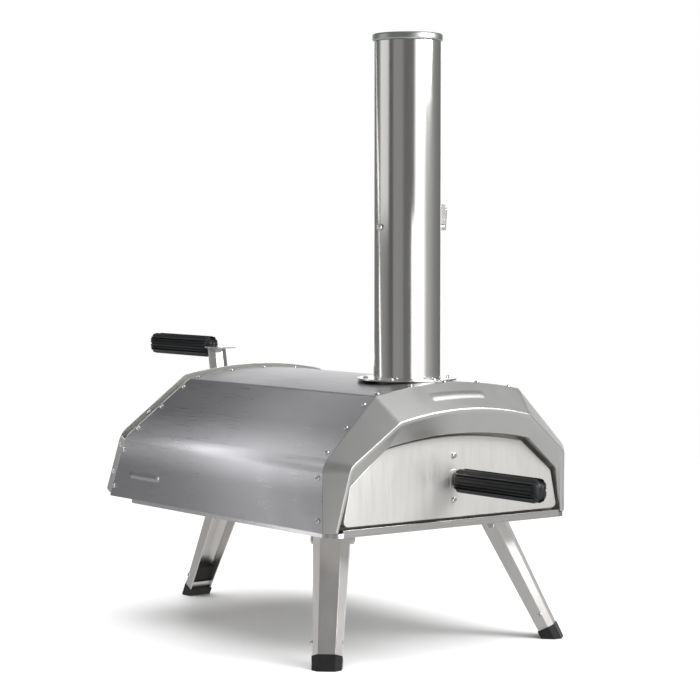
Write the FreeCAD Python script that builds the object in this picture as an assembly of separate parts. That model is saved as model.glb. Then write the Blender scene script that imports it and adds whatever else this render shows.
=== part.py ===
import FreeCAD, Part
import math
import os

from FreeCAD import Matrix, Placement, Rotation, Vector

# Portable wood fired pizza oven on three folding legs.
# Millimetres. +X is right seen from the front, +Y points to the rear, +Z is up.
# The model is drawn from the shell's front edge (y = 0) with the floor at z = 0. When a
# piece is written it is moved so that the origin is midway between the two handle tips.

# Shell: an arch of sheet metal with a raked rear edge.
SHELL_WIDTH = 400.0
SHELL_LENGTH = 507.0
SHELL_BOTTOM = 171.0
SIDE_HEIGHT = 85.0
FACET_RUN = 82.0
FACET_RISE = 81.0
CROWN_RISE = 12.4
SHOULDER_RADIUS = 25.0
EAVE_RADIUS = 8.0
RAKE_DEGREES = 26.0

# Sheet thicknesses and the gaps between pieces.
SHEET = 1.2
THIN_SHEET = 1.0
FIT_GAP = 0.2
MOVING_GAP = 0.5
PIN_CLEARANCE = 0.05
INSULATION = 10.5
OVERRUN = 60.0
SMALLEST_RADIUS = 0.5

# Front fascia: a pressed arch with a ridge, leaning forward towards the top.
RIDGE_INSET_SIDE = 13.0
RIDGE_INSET_SHOULDER = 24.0
RIDGE_DROP_SHOULDER = 3.0
RIDGE_INSET_EAVE = 11.0
RIDGE_DROP_EAVE = 31.5
RIDGE_DROP_CROWN = 31.0
RIDGE_DEPTH = 10.6
RIDGE_LEAN = 0.19
RIDGE_LAND = 4.6
RIDGE_ROUND = 1.9
LIP_DEPTH = 7.2
LIP_LEAN = 0.155
FASCIA_SKIRT = 16.0

# Door and the mouth behind it.
DOOR_SILL = 6.0
DOOR_FOOT_INSET = 23.0
DOOR_SHOULDER_INSET = 34.0
DOOR_SHOULDER_DROP = 28.0
DOOR_EAVE_INSET = 4.0
DOOR_EAVE_DROP = 67.0
DOOR_CROWN_DROP = 67.4
DOOR_CORNER = 7.0
DOOR_FACE = 10.5
DOOR_RIM = 8.0
DOOR_GAP = 4.6
MOUTH_INSET = 10.0
PLUG_CLEARANCE = 4.0
PLUG_DEPTH = 19.0
PLUG_TAPER = 3.0
DOOR_SCREW_RISES = (23.0, 80.0)
DOOR_HANDLE_RISE = 49.0
DOOR_EDGE_ROUND = 1.6
BRACKET_HALF = 18.0
BRACKET_MARGIN = 8.0

# Grips: bars with bevelled edges, one on the door and one on the fuel hatch.
GRIP_LENGTH = 160.0
GRIP_HEIGHT = 25.0
GRIP_WIDTH = 23.0
GRIP_BEVEL = 6.0
GRIP_END_BEVEL = 3.5
GRIP_STANDOFF = 8.5
TANG_THICKNESS = 4.0
TANG_HEIGHT = 14.0
TANG_LENGTH = 90.0

# Base tray under the shell.
TRAY_INSET = 4.0
TRAY_FRONT = 13.5
TRAY_REAR_SETBACK = 52.0
TRAY_DEPTH = 6.0
TRAY_CORNER = 20.0
TRAY_LIP_RISE = 3.5
TRAY_LIP_INSET = 22.0

# Baking stone on its rails.
STONE_SIDE_ROOM = 32.5
STONE_REAR_ROOM = 150.0
STONE_THICKNESS = 10.0
STONE_FRONT = 22.0
RAIL_HEIGHT = 8.0
RAIL_WIDTH = 20.0
RAIL_INSET = 47.5
RAIL_SETBACK = 10.0
STONE_CORNER = 6.0
STONE_CHAMFER = 0.8
GUARD_GAP = 5.0
GUARD_HEIGHT = 34.0
GUARD_FOOT = 14.0
GUARD_SETBACK = 10.0

# Chimney.
COLLAR_SETBACK = 20.1
CHIMNEY_TOP = 798.0
TUBE_RADIUS = 44.2
TUBE_WALL = 0.8
COLLAR_FLANGE = 21.5
COLLAR_PLATE = 2.0
SPIGOT_HEIGHT = 26.0
SPIGOT_CLEARANCE = 0.4
SPIGOT_DIP = 20.0
COLLAR_SCREW_OUT = 10.8
COLLAR_SCREWS = 6
CAP_OVERHANG = 1.8
CAP_HEIGHT = 9.6
CAP_EDGE = 2.6
CAP_PLUG = 12.0

# Damper inside the chimney.
DAMPER_DROP = 250.0
DAMPER_GAP = 1.6
DAMPER_AXLE_RADIUS = 2.5
LEVER_STANDOFF = 17.3
LEVER_RISE = 30.0
LEVER_WIDTH = 14.0
LEVER_THICKNESS = 2.4
KNOB_RADIUS = 4.5
KNOB_HEIGHT = 4.4
KNOB_ROUND = 3.6

# Rear fascia and the fuel box behind it.
REAR_DEPTH = 15.0
REAR_ROUND = 4.5
REAR_SKIRT = 12.0
PAN_FOOT_RADIUS = 6.0
FUEL_HALF = 62.0
FUEL_TOP_DROP = 57.4
FUEL_BOTTOM_RISE = 16.0
FUEL_REACH = 38.0
PORT_INSET = 8.0
PORT_DROP = 12.0
FUEL_FLANGE = 10.0

# Fuel tray and grate, which slide out of the fuel box.
FUEL_TRAY_LENGTH = 120.0
FUEL_TRAY_INSET = 12.0
FUEL_TRAY_HEIGHT = 32.0
FUEL_TRAY_PLATE_MARGIN = 6.0
GRATE_THICKNESS = 2.0
GRATE_SLOTS = 9
GRATE_SLOT_WIDTH = 5.0
GRATE_SLOT_SHARE = 0.8
PULL_HALF = 24.0
PULL_REACH = 16.0
PULL_DROP = 12.0
PULL_LIP = 8.0
PULL_BACKING = 8.0

# Fuel hatch and the handle above it.
HATCH_LIP = 9.0
HATCH_PLUG = 10.0
HATCH_SETBACK = 6.0
TAB_SCREW_X = 9.0
TAB_SCREW_SETBACK = 14.0
TAB_REACH = 22.0
RISER_SETBACK = 28.5
RISER_LEAN = 0.19
RISER_RISE = 82.0
RISER_FACE = 12.0
RISER_BEVEL = 9.0
HATCH_TAB = 2.0
HATCH_TAB_SETBACK = 35.0
HATCH_GRIP_REACH = 1.0

# Folding legs, three alike: two at the front, one at the rear.
PIVOT_DROP = 14.0
FRONT_FOOT_INSET = 12.0
FRONT_FOOT_Y = 8.0
REAR_FOOT_REACH = 93.0
FRONT_SPLAY_DEGREES = 41.0
FRONT_TILT_DEGREES = 26.0
REAR_TILT_DEGREES = 28.0
LEG_SHEET = 1.5
LEG_TOP_FACE = 27.0
LEG_TOP_BEVEL = 10.0
LEG_TOP_DEPTH = 28.0
LEG_FOOT_FACE = 21.0
LEG_FOOT_BEVEL = 7.0
LEG_FOOT_DEPTH = 21.0
PIVOT_DEPTH = 17.0
LEG_RISE = 6.0
HINGE_RADIUS = 3.0
EAR_HALF = 11.5
EAR_RADIUS = 8.0
EAR_SHEET = 2.0
BRACKET_REACH = 26.0
FOOT_HEIGHT = 15.0
FOOT_WALL = 1.2
FOOT_SOLE = 4.0
PLUG_TOP = 45.0
STRAP_HEIGHT = 9.0

FOOT_SCREW_RISE = 8.0
FOOT_SCREW_SHANK = 8.0
PLUG_TRIM_IN = 6.0
PLUG_TRIM_OUT = 9.0
STRAP_LAP = 0.5
STRAP_SETBACK = 5.0
REAR_HEADING = 180.0

# Fasteners.
HEAD_RADIUS = 3.4
HEAD_HEIGHT = 1.9
SHANK_RADIUS = 1.7
SHANK_LENGTH = 2.7
SCREW_SETBACK = 10.0
REAR_SCREW_SETBACK = 5.0
SIDE_SCREW_LOW = 15.0
SIDE_SCREW_HIGH = 17.0
FACET_SCREW_SHARES = (0.17, 0.53, 0.87)
CROWN_SCREW_SHARES = (0.466, 0.915)
TRAY_SCREW_INSET = 35.0
TRAY_SCREW_SHARES = (0.2170, 0.5325, 0.8284)
REAR_SCREW_LOW = 32.0
REAR_SCREW_HIGH = 14.0
REAR_SCREW_SHARE = 0.4
FUEL_SCREW_IN = 14.0
GRIP_SCREW_HEAD = 3.6
GRIP_SCREW_RADIUS = 1.6
GRIP_SCREW_SINK = 3.0
GRIP_SCREW_SHARES = (0.3, 0.8)
BORE_OVERRUN = 5.0
BOLT_END = 6.0
BOLT_HEAD = 3.0
BOLT_ROUND = 2.2
NUT_SIDES = 6
NUT_HEIGHT = 4.5

# Values worked out from the ones above.
HALF = SHELL_WIDTH / 2
SHOULDER_Z = SHELL_BOTTOM + SIDE_HEIGHT
EAVE_HALF = HALF - FACET_RUN
EAVE_Z = SHOULDER_Z + FACET_RISE
CROWN_Z = EAVE_Z + CROWN_RISE
TRAY_HALF = HALF - TRAY_INSET
TRAY_REAR = SHELL_LENGTH - TRAY_REAR_SETBACK
TRAY_BOTTOM = SHELL_BOTTOM - TRAY_DEPTH
TRAY_LIP_TOP = SHELL_BOTTOM + TRAY_LIP_RISE
TRAY_LIP_HALF = HALF - TRAY_LIP_INSET
TRAY_SCREW_X = HALF - TRAY_SCREW_INSET
STONE_WIDTH = SHELL_WIDTH - 2 * STONE_SIDE_ROOM
STONE_DEPTH = SHELL_LENGTH - STONE_FRONT - STONE_REAR_ROOM
RAIL_SPACING = STONE_WIDTH - 2 * RAIL_INSET
DOOR_BOTTOM = SHELL_BOTTOM + DOOR_SILL
DOOR_FOOT_HALF = HALF - DOOR_FOOT_INSET
DOOR_SHOULDER_HALF = HALF - DOOR_SHOULDER_INSET
DOOR_SHOULDER_Z = SHOULDER_Z - DOOR_SHOULDER_DROP
DOOR_EAVE_HALF = EAVE_HALF - DOOR_EAVE_INSET
DOOR_EAVE_Z = EAVE_Z - DOOR_EAVE_DROP
DOOR_CROWN_Z = CROWN_Z - DOOR_CROWN_DROP
DOOR_SCREW_Z = [DOOR_BOTTOM + rise for rise in DOOR_SCREW_RISES]
DOOR_HANDLE_Z = DOOR_BOTTOM + DOOR_HANDLE_RISE
FUEL_BOTTOM = SHELL_BOTTOM + FUEL_BOTTOM_RISE
FUEL_TOP = CROWN_Z - FUEL_TOP_DROP
FUEL_REAR = SHELL_LENGTH + FUEL_REACH
PORT_HALF = FUEL_HALF - PORT_INSET
PORT_TOP = FUEL_TOP - PORT_DROP
FUEL_TRAY_FRONT = FUEL_REAR - FUEL_TRAY_LENGTH
FUEL_TRAY_HALF = FUEL_HALF - FUEL_TRAY_INSET
RISER_FOOT_Y = FUEL_REAR - RISER_SETBACK
RISER_TOP = FUEL_TOP + RISER_RISE
HATCH_TAB_FRONT = FUEL_REAR - HATCH_TAB_SETBACK
HATCH_GRIP_Y = FUEL_REAR + HATCH_GRIP_REACH
PIVOT_Z = TRAY_BOTTOM - PIVOT_DROP
REAR_FOOT_Y = SHELL_LENGTH + REAR_FOOT_REACH
DAMPER_Z = CHIMNEY_TOP - DAMPER_DROP
TRAY_SCREW_Y = [SHELL_LENGTH * share for share in TRAY_SCREW_SHARES]
FRONT_FOOT = (HALF - FRONT_FOOT_INSET, FRONT_FOOT_Y)
CROWN_SCREW_X = [EAVE_HALF * share for share in CROWN_SCREW_SHARES]
FLOOR_TOP = SHELL_BOTTOM + SHEET
RAKE = math.radians(RAKE_DEGREES)
RAKE_NORMAL = Vector(0, math.cos(RAKE), math.sin(RAKE))
SKIRT_INSET = SHEET + FIT_GAP
BLANKET_INSET = SKIRT_INSET + SHEET + FIT_GAP
LINER_INSET = BLANKET_INSET + INSULATION + FIT_GAP
REAR_HANDLE_TIP = HATCH_GRIP_Y + GRIP_LENGTH
FRONT_HANDLE_TIP = DOOR_FACE + GRIP_STANDOFF + GRIP_LENGTH
MIDDLE_Y = (REAR_HANDLE_TIP - FRONT_HANDLE_TIP) / 2
COLLAR_Z = CROWN_Z + FIT_GAP
TUBE_INNER = TUBE_RADIUS - TUBE_WALL
COLLAR_RADIUS = TUBE_RADIUS + COLLAR_FLANGE
CHIMNEY_Y = COLLAR_SETBACK + COLLAR_RADIUS
COLLAR_SCREW_RING = TUBE_RADIUS + COLLAR_SCREW_OUT
CAP_RADIUS = TUBE_RADIUS + CAP_OVERHANG
LEVER_REACH = TUBE_RADIUS + LEVER_STANDOFF
SPIGOT_RADIUS = TUBE_INNER - SPIGOT_CLEARANCE
TUBE_BOTTOM = COLLAR_Z + COLLAR_PLATE + FIT_GAP
TUBE_TOP = CHIMNEY_TOP - CAP_HEIGHT - FIT_GAP
STONE_BOTTOM = FLOOR_TOP + RAIL_HEIGHT + FIT_GAP
FUEL_FLOOR = FUEL_BOTTOM + SHEET + FIT_GAP

os.makedirs("parts", exist_ok=True)


def save(name, shape):
    """Write one piece, moved from the drawing's origin to the part's own."""
    placed = shape.copy()
    placed.translate(Vector(0, -MIDDLE_Y, 0))
    placed.exportStep("parts/" + name + ".step")


def block(low, high):
    """Box between two corners."""
    size = Vector(*high) - Vector(*low)
    return Part.makeBox(size.x, size.y, size.z, Vector(*low))


def rod(start, end, radius):
    """Cylinder between two points."""
    along = Vector(*end) - Vector(*start)
    return Part.makeCylinder(radius, along.Length, Vector(*start), along)


def prism_yz(points, low_x, high_x):
    """Prism along X over an outline of (y, z) points."""
    corners = [Vector(low_x, y, z) for y, z in points]
    face = Part.Face(Part.makePolygon(corners + corners[:1]))
    return face.extrude(Vector(high_x - low_x, 0, 0))


def prism_along(points, direction):
    """Prism over a closed outline of 3-D points."""
    face = Part.Face(Part.makePolygon(points + points[:1]))
    return face.extrude(direction)


def turned_normal(run, rise):
    """Inward unit normal of an edge of the right half, from its run and rise."""
    length = math.hypot(run, rise)
    return Vector(-rise / length, 0, run / length)


class Arch:
    """Outline of the oven's arch: side wall, slanted facet and curved crown."""

    def __init__(self, foot, shoulder, eave, crown, radii):
        self.foot = Vector(foot[0], 0, foot[1])
        self.shoulder = Vector(shoulder[0], 0, shoulder[1])
        self.eave = Vector(eave[0], 0, eave[1])
        self.crown = crown
        self.radii = radii

    def normals(self):
        """Inward normals of the floor, side, facet and crown edges."""
        side = self.shoulder - self.foot
        facet = self.eave - self.shoulder
        rise = self.crown - self.eave.z
        radius = (self.eave.x ** 2 + rise ** 2) / (2 * rise)
        to_centre = Vector(-self.eave.x, 0, self.crown - radius - self.eave.z)
        to_centre.normalize()
        return [Vector(0, 0, 1), turned_normal(side.x, side.z),
                turned_normal(facet.x, facet.z), to_centre]

    def inset(self, distance, bottom=None):
        """The outline moved inwards; a floor line at bottom gives it square feet."""
        normals = self.normals()
        moved = []
        for index, corner in enumerate((self.foot, self.shoulder, self.eave)):
            before, after = normals[index], normals[index + 1]
            step = (before + after) * (distance / (1 + before.dot(after)))
            moved.append(corner + step)
        foot, shoulder, eave = moved
        if bottom is not None:
            slope = (shoulder.x - foot.x) / (shoulder.z - foot.z)
            foot = Vector(foot.x + slope * (bottom - foot.z), 0, bottom)
        radii = [max(radius - distance, SMALLEST_RADIUS) if radius > 0 else 0
                 for radius in self.radii]
        if bottom is not None:
            radii[0] = 0
        return Arch((foot.x, foot.z), (shoulder.x, shoulder.z), (eave.x, eave.z),
                    self.crown - distance, radii)

    def rounded_corners(self):
        """Start, middle and end of the arc at each corner of the right half."""
        normals = self.normals()
        arcs = []
        for index, corner in enumerate((self.foot, self.shoulder, self.eave)):
            before, after = normals[index], normals[index + 1]
            radius = self.radii[index]
            half_turn = math.acos(max(-1.0, min(1.0, before.dot(after)))) / 2
            reach = radius * math.tan(half_turn)
            start = corner - Vector(before.z, 0, -before.x) * reach
            end = corner + Vector(after.z, 0, -after.x) * reach
            inward = (before + after).normalize()
            middle = start + before * radius - inward * radius
            arcs.append((start, middle, end))
        return arcs

    def wire(self, lie):
        """Closed wire, with every point laid on a surface by the function lie."""
        right = self.rounded_corners()
        left = [tuple(Vector(-p.x, 0, p.z) for p in reversed(arc)) for arc in reversed(right)]
        arcs = right + left
        edges = []
        for index, (start, middle, end) in enumerate(arcs):
            following = arcs[(index + 1) % len(arcs)][0]
            if start != end:
                edges.append(Part.Arc(lie(start), lie(middle), lie(end)).toShape())
            if index == len(right) - 1:
                top = Vector(0, 0, self.crown)
                edges.append(Part.Arc(lie(end), lie(top), lie(following)).toShape())
            else:
                edges.append(Part.LineSegment(lie(end), lie(following)).toShape())
        return Part.Wire(edges)

    def crown_height(self, x):
        """Height of the crown's curve at a distance from the centre plane."""
        rise = self.crown - self.eave.z
        radius = (self.eave.x ** 2 + rise ** 2) / (2 * rise)
        return self.crown - radius + math.sqrt(radius ** 2 - x ** 2)


def upright(y):
    """Lie function for the vertical plane at y."""
    return lambda point: Vector(point.x, y, point.z)


def leaning(depth, lean):
    """Lie function for a plane that comes forward as it rises from the shell's bottom."""
    return lambda point: Vector(point.x, -depth - lean * (point.z - SHELL_BOTTOM), point.z)


def raked(offset):
    """Lie function for the rear plane, moved backwards along its normal by offset."""
    shift = offset / math.cos(RAKE)
    return lambda point: Vector(
        point.x, SHELL_LENGTH + shift - math.tan(RAKE) * (point.z - SHELL_BOTTOM), point.z)


def rake_y(z, offset=0.0):
    """Y of the rear plane at a height."""
    return raked(offset)(Vector(0, 0, z)).y


def tunnel(arch, start_y, end_y):
    """Solid with the arch's outline between two vertical planes."""
    face = Part.Face(arch.wire(upright(start_y)))
    return face.extrude(Vector(0, end_y - start_y, 0))


def ahead_of_rake(offset):
    """Everything in front of the rear plane moved by offset."""
    low_z = SHELL_BOTTOM - OVERRUN
    high_z = CROWN_Z + OVERRUN
    outline = [(-OVERRUN * 2, low_z), (rake_y(low_z, offset), low_z),
               (rake_y(high_z, offset), high_z), (-OVERRUN * 2, high_z)]
    return prism_yz(outline, -HALF - OVERRUN, HALF + OVERRUN)


def raked_tunnel(arch, start_y, offset):
    """Solid from a vertical front plane to the rear plane moved by offset."""
    return tunnel(arch, start_y, SHELL_LENGTH + OVERRUN).common(ahead_of_rake(offset))


def raked_slab(arch, start_offset, thickness):
    """Slab parallel to the rear plane."""
    face = Part.Face(arch.wire(raked(start_offset)))
    return face.extrude(RAKE_NORMAL * thickness)


def raked_slice(arch, low_offset, high_offset):
    """The part of the arch's tunnel between two planes parallel to the rear plane."""
    return raked_tunnel(arch, 0, high_offset).cut(ahead_of_rake(low_offset))


def loft(first, second):
    """Ruled solid between two wires."""
    solid = Part.makeLoft([first, second], True, True)
    if solid.Volume < 0:
        solid.reverse()
    return solid


def edges_on(shape, lie, tolerance=0.01):
    """Edges whose two ends and middle all lie on a plane given by its lie function."""
    found = []
    for edge in shape.Edges:
        middle = edge.valueAt((edge.FirstParameter + edge.LastParameter) / 2)
        points = [vertex.Point for vertex in edge.Vertexes] + [middle]
        if all(abs(lie(point).y - point.y) < tolerance for point in points):
            found.append(edge)
    return found


SHELL = Arch((HALF, SHELL_BOTTOM), (HALF, SHOULDER_Z), (EAVE_HALF, EAVE_Z), CROWN_Z,
             (0, SHOULDER_RADIUS, EAVE_RADIUS))
PAN = Arch((HALF, SHELL_BOTTOM), (HALF, SHOULDER_Z), (EAVE_HALF, EAVE_Z), CROWN_Z,
           (PAN_FOOT_RADIUS, SHOULDER_RADIUS, EAVE_RADIUS))
DOOR = Arch((DOOR_FOOT_HALF, DOOR_BOTTOM), (DOOR_SHOULDER_HALF, DOOR_SHOULDER_Z),
            (DOOR_EAVE_HALF, DOOR_EAVE_Z), DOOR_CROWN_Z,
            (DOOR_CORNER, DOOR_CORNER, DOOR_CORNER))
MOUTH = DOOR.inset(MOUTH_INSET)


# ---- fasteners -------------------------------------------------------------------------

def screw(point, outward, shank=SHANK_LENGTH, head=HEAD_RADIUS):
    """Domed screw: head outside the surface at point, shank going in."""
    dome = Part.makeCylinder(head, HEAD_HEIGHT, Vector(0, 0, 0), Vector(0, 0, 1))
    rim = [edge for edge in dome.Edges
           if len(edge.Vertexes) == 1 and edge.Vertexes[0].Point.z > HEAD_HEIGHT / 2]
    dome = dome.makeFillet(HEAD_HEIGHT * 0.8, rim)
    body = dome.fuse(Part.makeCylinder(SHANK_RADIUS, shank, Vector(0, 0, -shank)))
    body.Placement = Placement(point, Rotation(Vector(0, 0, 1), outward))
    return body


def screw_hole(point, outward, depth=OVERRUN / 4):
    """Clearance hole for a screw, reaching both sides of the surface."""
    start = point - outward * depth
    radius = SHANK_RADIUS + PIN_CLEARANCE
    return Part.makeCylinder(radius, 2 * depth, start, outward)


def arch_places(setback, lie):
    """Points and outward normals of a row of screws around the shell's edge."""
    normals = SHELL.normals()
    places = []
    for z in (SHELL_BOTTOM + SIDE_SCREW_LOW, SHOULDER_Z - SIDE_SCREW_HIGH):
        places.append((Vector(HALF, 0, z), -normals[1]))
    for share in FACET_SCREW_SHARES:
        point = SHELL.shoulder + (SHELL.eave - SHELL.shoulder) * share
        places.append((point, -normals[2]))
    centre_z = CROWN_Z - (EAVE_HALF ** 2 + CROWN_RISE ** 2) / (2 * CROWN_RISE)
    for x in CROWN_SCREW_X:
        point = Vector(x, 0, SHELL.crown_height(x))
        places.append((point, (point - Vector(0, 0, centre_z)).normalize()))
    both = places + [(Vector(-p.x, 0, p.z), Vector(-n.x, 0, n.z)) for p, n in places]
    both.append((Vector(0, 0, CROWN_Z), Vector(0, 0, 1)))
    return [(lie(point) + Vector(0, setback, 0) + normal * PIN_CLEARANCE, normal)
            for point, normal in both]


FRONT_PLACES = arch_places(SCREW_SETBACK, upright(0))
REAR_PLACES = arch_places(-REAR_SCREW_SETBACK, raked(0))


# ---- body ------------------------------------------------------------------------------

def chimney_hole(radius):
    """Vertical hole through the roof on the chimney's axis."""
    return rod((0, CHIMNEY_Y, EAVE_Z - OVERRUN), (0, CHIMNEY_Y, CROWN_Z + OVERRUN), radius)


def outer_shell():
    outside = raked_tunnel(SHELL, FIT_GAP, 0)
    inside = tunnel(SHELL.inset(SHEET, SHELL_BOTTOM - OVERRUN), -OVERRUN,
                    SHELL_LENGTH + OVERRUN)
    shell = outside.cut(inside).cut(chimney_hole(SPIGOT_RADIUS + FIT_GAP))
    for point, normal in FRONT_PLACES + REAR_PLACES:
        shell = shell.cut(screw_hole(point, normal, SHEET * 2))
    return shell


def insulation():
    blanket = raked_tunnel(SHELL.inset(BLANKET_INSET, FLOOR_TOP + FIT_GAP),
                           SHEET * 2 + FIT_GAP, -LINER_INSET)
    core = tunnel(SHELL.inset(LINER_INSET - FIT_GAP, SHELL_BOTTOM - OVERRUN), -OVERRUN,
                  SHELL_LENGTH + OVERRUN)
    blanket = blanket.cut(core).cut(chimney_hole(SPIGOT_RADIUS + MOVING_GAP))
    slab = raked_slice(SHELL.inset(BLANKET_INSET, FLOOR_TOP + FIT_GAP),
                       -LINER_INSET + FIT_GAP + SHEET, -FIT_GAP)
    return Part.makeCompound([blanket, slab.cut(port(SHEET))])


def inner_liner():
    outside = raked_tunnel(SHELL.inset(LINER_INSET, FLOOR_TOP + FIT_GAP),
                           SHEET * 2 + FIT_GAP, -LINER_INSET - FIT_GAP)
    inside = tunnel(SHELL.inset(LINER_INSET + THIN_SHEET, SHELL_BOTTOM - OVERRUN), -OVERRUN,
                    SHELL_LENGTH + OVERRUN)
    return outside.cut(inside).cut(chimney_hole(SPIGOT_RADIUS + FIT_GAP))


def port(margin):
    """The opening from the fuel box through the rear wall."""
    return block((-PORT_HALF - margin, rake_y(CROWN_Z, -OVERRUN), FUEL_BOTTOM - margin),
                 (PORT_HALF + margin, FUEL_REAR, PORT_TOP + margin))


def rear_liner():
    slab = raked_slice(SHELL.inset(BLANKET_INSET, FLOOR_TOP + FIT_GAP), -LINER_INSET,
                       -LINER_INSET + SHEET)
    return slab.cut(port(0))


def mouth_plate():
    plate = tunnel(SHELL.inset(BLANKET_INSET, FLOOR_TOP + FIT_GAP), SHEET, SHEET * 2)
    return plate.cut(tunnel(MOUTH, -OVERRUN, OVERRUN))


def floor_plate():
    outline = SHELL.inset(SKIRT_INSET, SHELL_BOTTOM)
    plate = raked_tunnel(outline, SHEET, -FIT_GAP)
    plate = plate.common(block((-HALF, -OVERRUN, SHELL_BOTTOM),
                               (HALF, SHELL_LENGTH, FLOOR_TOP)))
    for x, y in TRAY_SCREWS:
        plate = plate.cut(screw_hole(Vector(x, y, SHELL_BOTTOM), Vector(0, 0, -1), SHEET * 2))
    return plate


def tray_outline(inset):
    """Plan of the base tray with its two rounded front corners."""
    side = TRAY_HALF - inset
    front = -TRAY_FRONT + inset
    rear = TRAY_REAR - inset
    radius = TRAY_CORNER - inset
    slant = radius * math.sin(math.pi / 4)
    bend = Vector(side - radius + slant, front + radius - slant, 0)
    edges = [
        Part.LineSegment(Vector(-side, rear, 0), Vector(-side, front + radius, 0)),
        Part.Arc(Vector(-side, front + radius, 0), Vector(-bend.x, bend.y, 0),
                 Vector(-side + radius, front, 0)),
        Part.LineSegment(Vector(-side + radius, front, 0), Vector(side - radius, front, 0)),
        Part.Arc(Vector(side - radius, front, 0), bend, Vector(side, front + radius, 0)),
        Part.LineSegment(Vector(side, front + radius, 0), Vector(side, rear, 0)),
        Part.LineSegment(Vector(side, rear, 0), Vector(-side, rear, 0)),
    ]
    return Part.Face(Part.Wire([edge.toShape() for edge in edges]))


def tray_layer(inset, low_z, high_z):
    """Slice of the tray's plan between two heights."""
    face = tray_outline(inset)
    face.translate(Vector(0, 0, low_z))
    return face.extrude(Vector(0, 0, high_z - low_z))


def base_tray():
    rim_top = SHELL_BOTTOM - FIT_GAP
    pan = tray_layer(0, TRAY_BOTTOM, rim_top)
    lip = tray_layer(0, TRAY_BOTTOM, TRAY_LIP_TOP)
    front_only = block((-TRAY_LIP_HALF, -TRAY_FRONT - 1, TRAY_BOTTOM),
                       (TRAY_LIP_HALF, -TRAY_FRONT + SHEET, TRAY_LIP_TOP))
    tray = pan.fuse(lip.common(front_only))
    tray = tray.cut(tray_layer(SHEET, TRAY_BOTTOM + SHEET, TRAY_LIP_TOP + 1))
    for x, y in TRAY_SCREWS:
        tray = tray.cut(screw_hole(Vector(x, y, TRAY_BOTTOM), Vector(0, 0, -1), SHEET * 2))
    return tray


TRAY_SCREWS = [(side * TRAY_SCREW_X, y) for side in (-1, 1) for y in TRAY_SCREW_Y]


def tray_screws():
    """Screws that hold the tray to the floor, up through both sheets."""
    shank = FLOOR_TOP - TRAY_BOTTOM
    return Part.makeCompound([
        screw(Vector(x, y, TRAY_BOTTOM), Vector(0, 0, -1), shank) for x, y in TRAY_SCREWS])


def stone_rails():
    """Two hat-section rails that keep the stone off the floor."""
    rails = []
    low = FLOOR_TOP
    high = FLOOR_TOP + RAIL_HEIGHT
    for side in (-1, 1):
        x = side * RAIL_SPACING / 2
        outer = block((x - RAIL_WIDTH / 2, STONE_FRONT + RAIL_SETBACK, low),
                      (x + RAIL_WIDTH / 2, STONE_FRONT + STONE_DEPTH - RAIL_SETBACK, high))
        inner = block((x - RAIL_WIDTH / 2 + SHEET, STONE_FRONT, low - 1),
                      (x + RAIL_WIDTH / 2 - SHEET, STONE_FRONT + STONE_DEPTH, high - SHEET))
        rails.append(outer.cut(inner))
    return Part.makeCompound(rails)


def baking_stone():
    stone = block((-STONE_WIDTH / 2, STONE_FRONT, STONE_BOTTOM),
                  (STONE_WIDTH / 2, STONE_FRONT + STONE_DEPTH, STONE_BOTTOM + STONE_THICKNESS))
    upright_edges = [edge for edge in stone.Edges
                     if abs(edge.Vertexes[0].Point.z - edge.Vertexes[1].Point.z) > 1]
    stone = stone.makeFillet(STONE_CORNER, upright_edges)
    return stone.makeChamfer(STONE_CHAMFER, [edge for face in stone.Faces
                                   if abs(face.normalAt(0, 0).z) > 0.9 for edge in face.Edges])


def ember_guard():
    """Upright strip that keeps embers off the stone."""
    front = STONE_FRONT + STONE_DEPTH + GUARD_GAP
    half = STONE_WIDTH / 2 - GUARD_SETBACK
    upright_strip = block((-half, front, FLOOR_TOP), (half, front + SHEET, FLOOR_TOP + GUARD_HEIGHT))
    foot = block((-half, front, FLOOR_TOP), (half, front + GUARD_FOOT, FLOOR_TOP + SHEET))
    return upright_strip.fuse(foot).removeSplitter()


# ---- front fascia ----------------------------------------------------------------------

RIDGE = Arch((HALF - RIDGE_INSET_SIDE, SHELL_BOTTOM),
             (HALF - RIDGE_INSET_SHOULDER, SHOULDER_Z - RIDGE_DROP_SHOULDER),
             (EAVE_HALF - RIDGE_INSET_EAVE, EAVE_Z - RIDGE_DROP_EAVE),
             CROWN_Z - RIDGE_DROP_CROWN,
             (0, SHOULDER_RADIUS * 0.7, EAVE_RADIUS * 2))
LIP = DOOR.inset(-DOOR_GAP)


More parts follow.
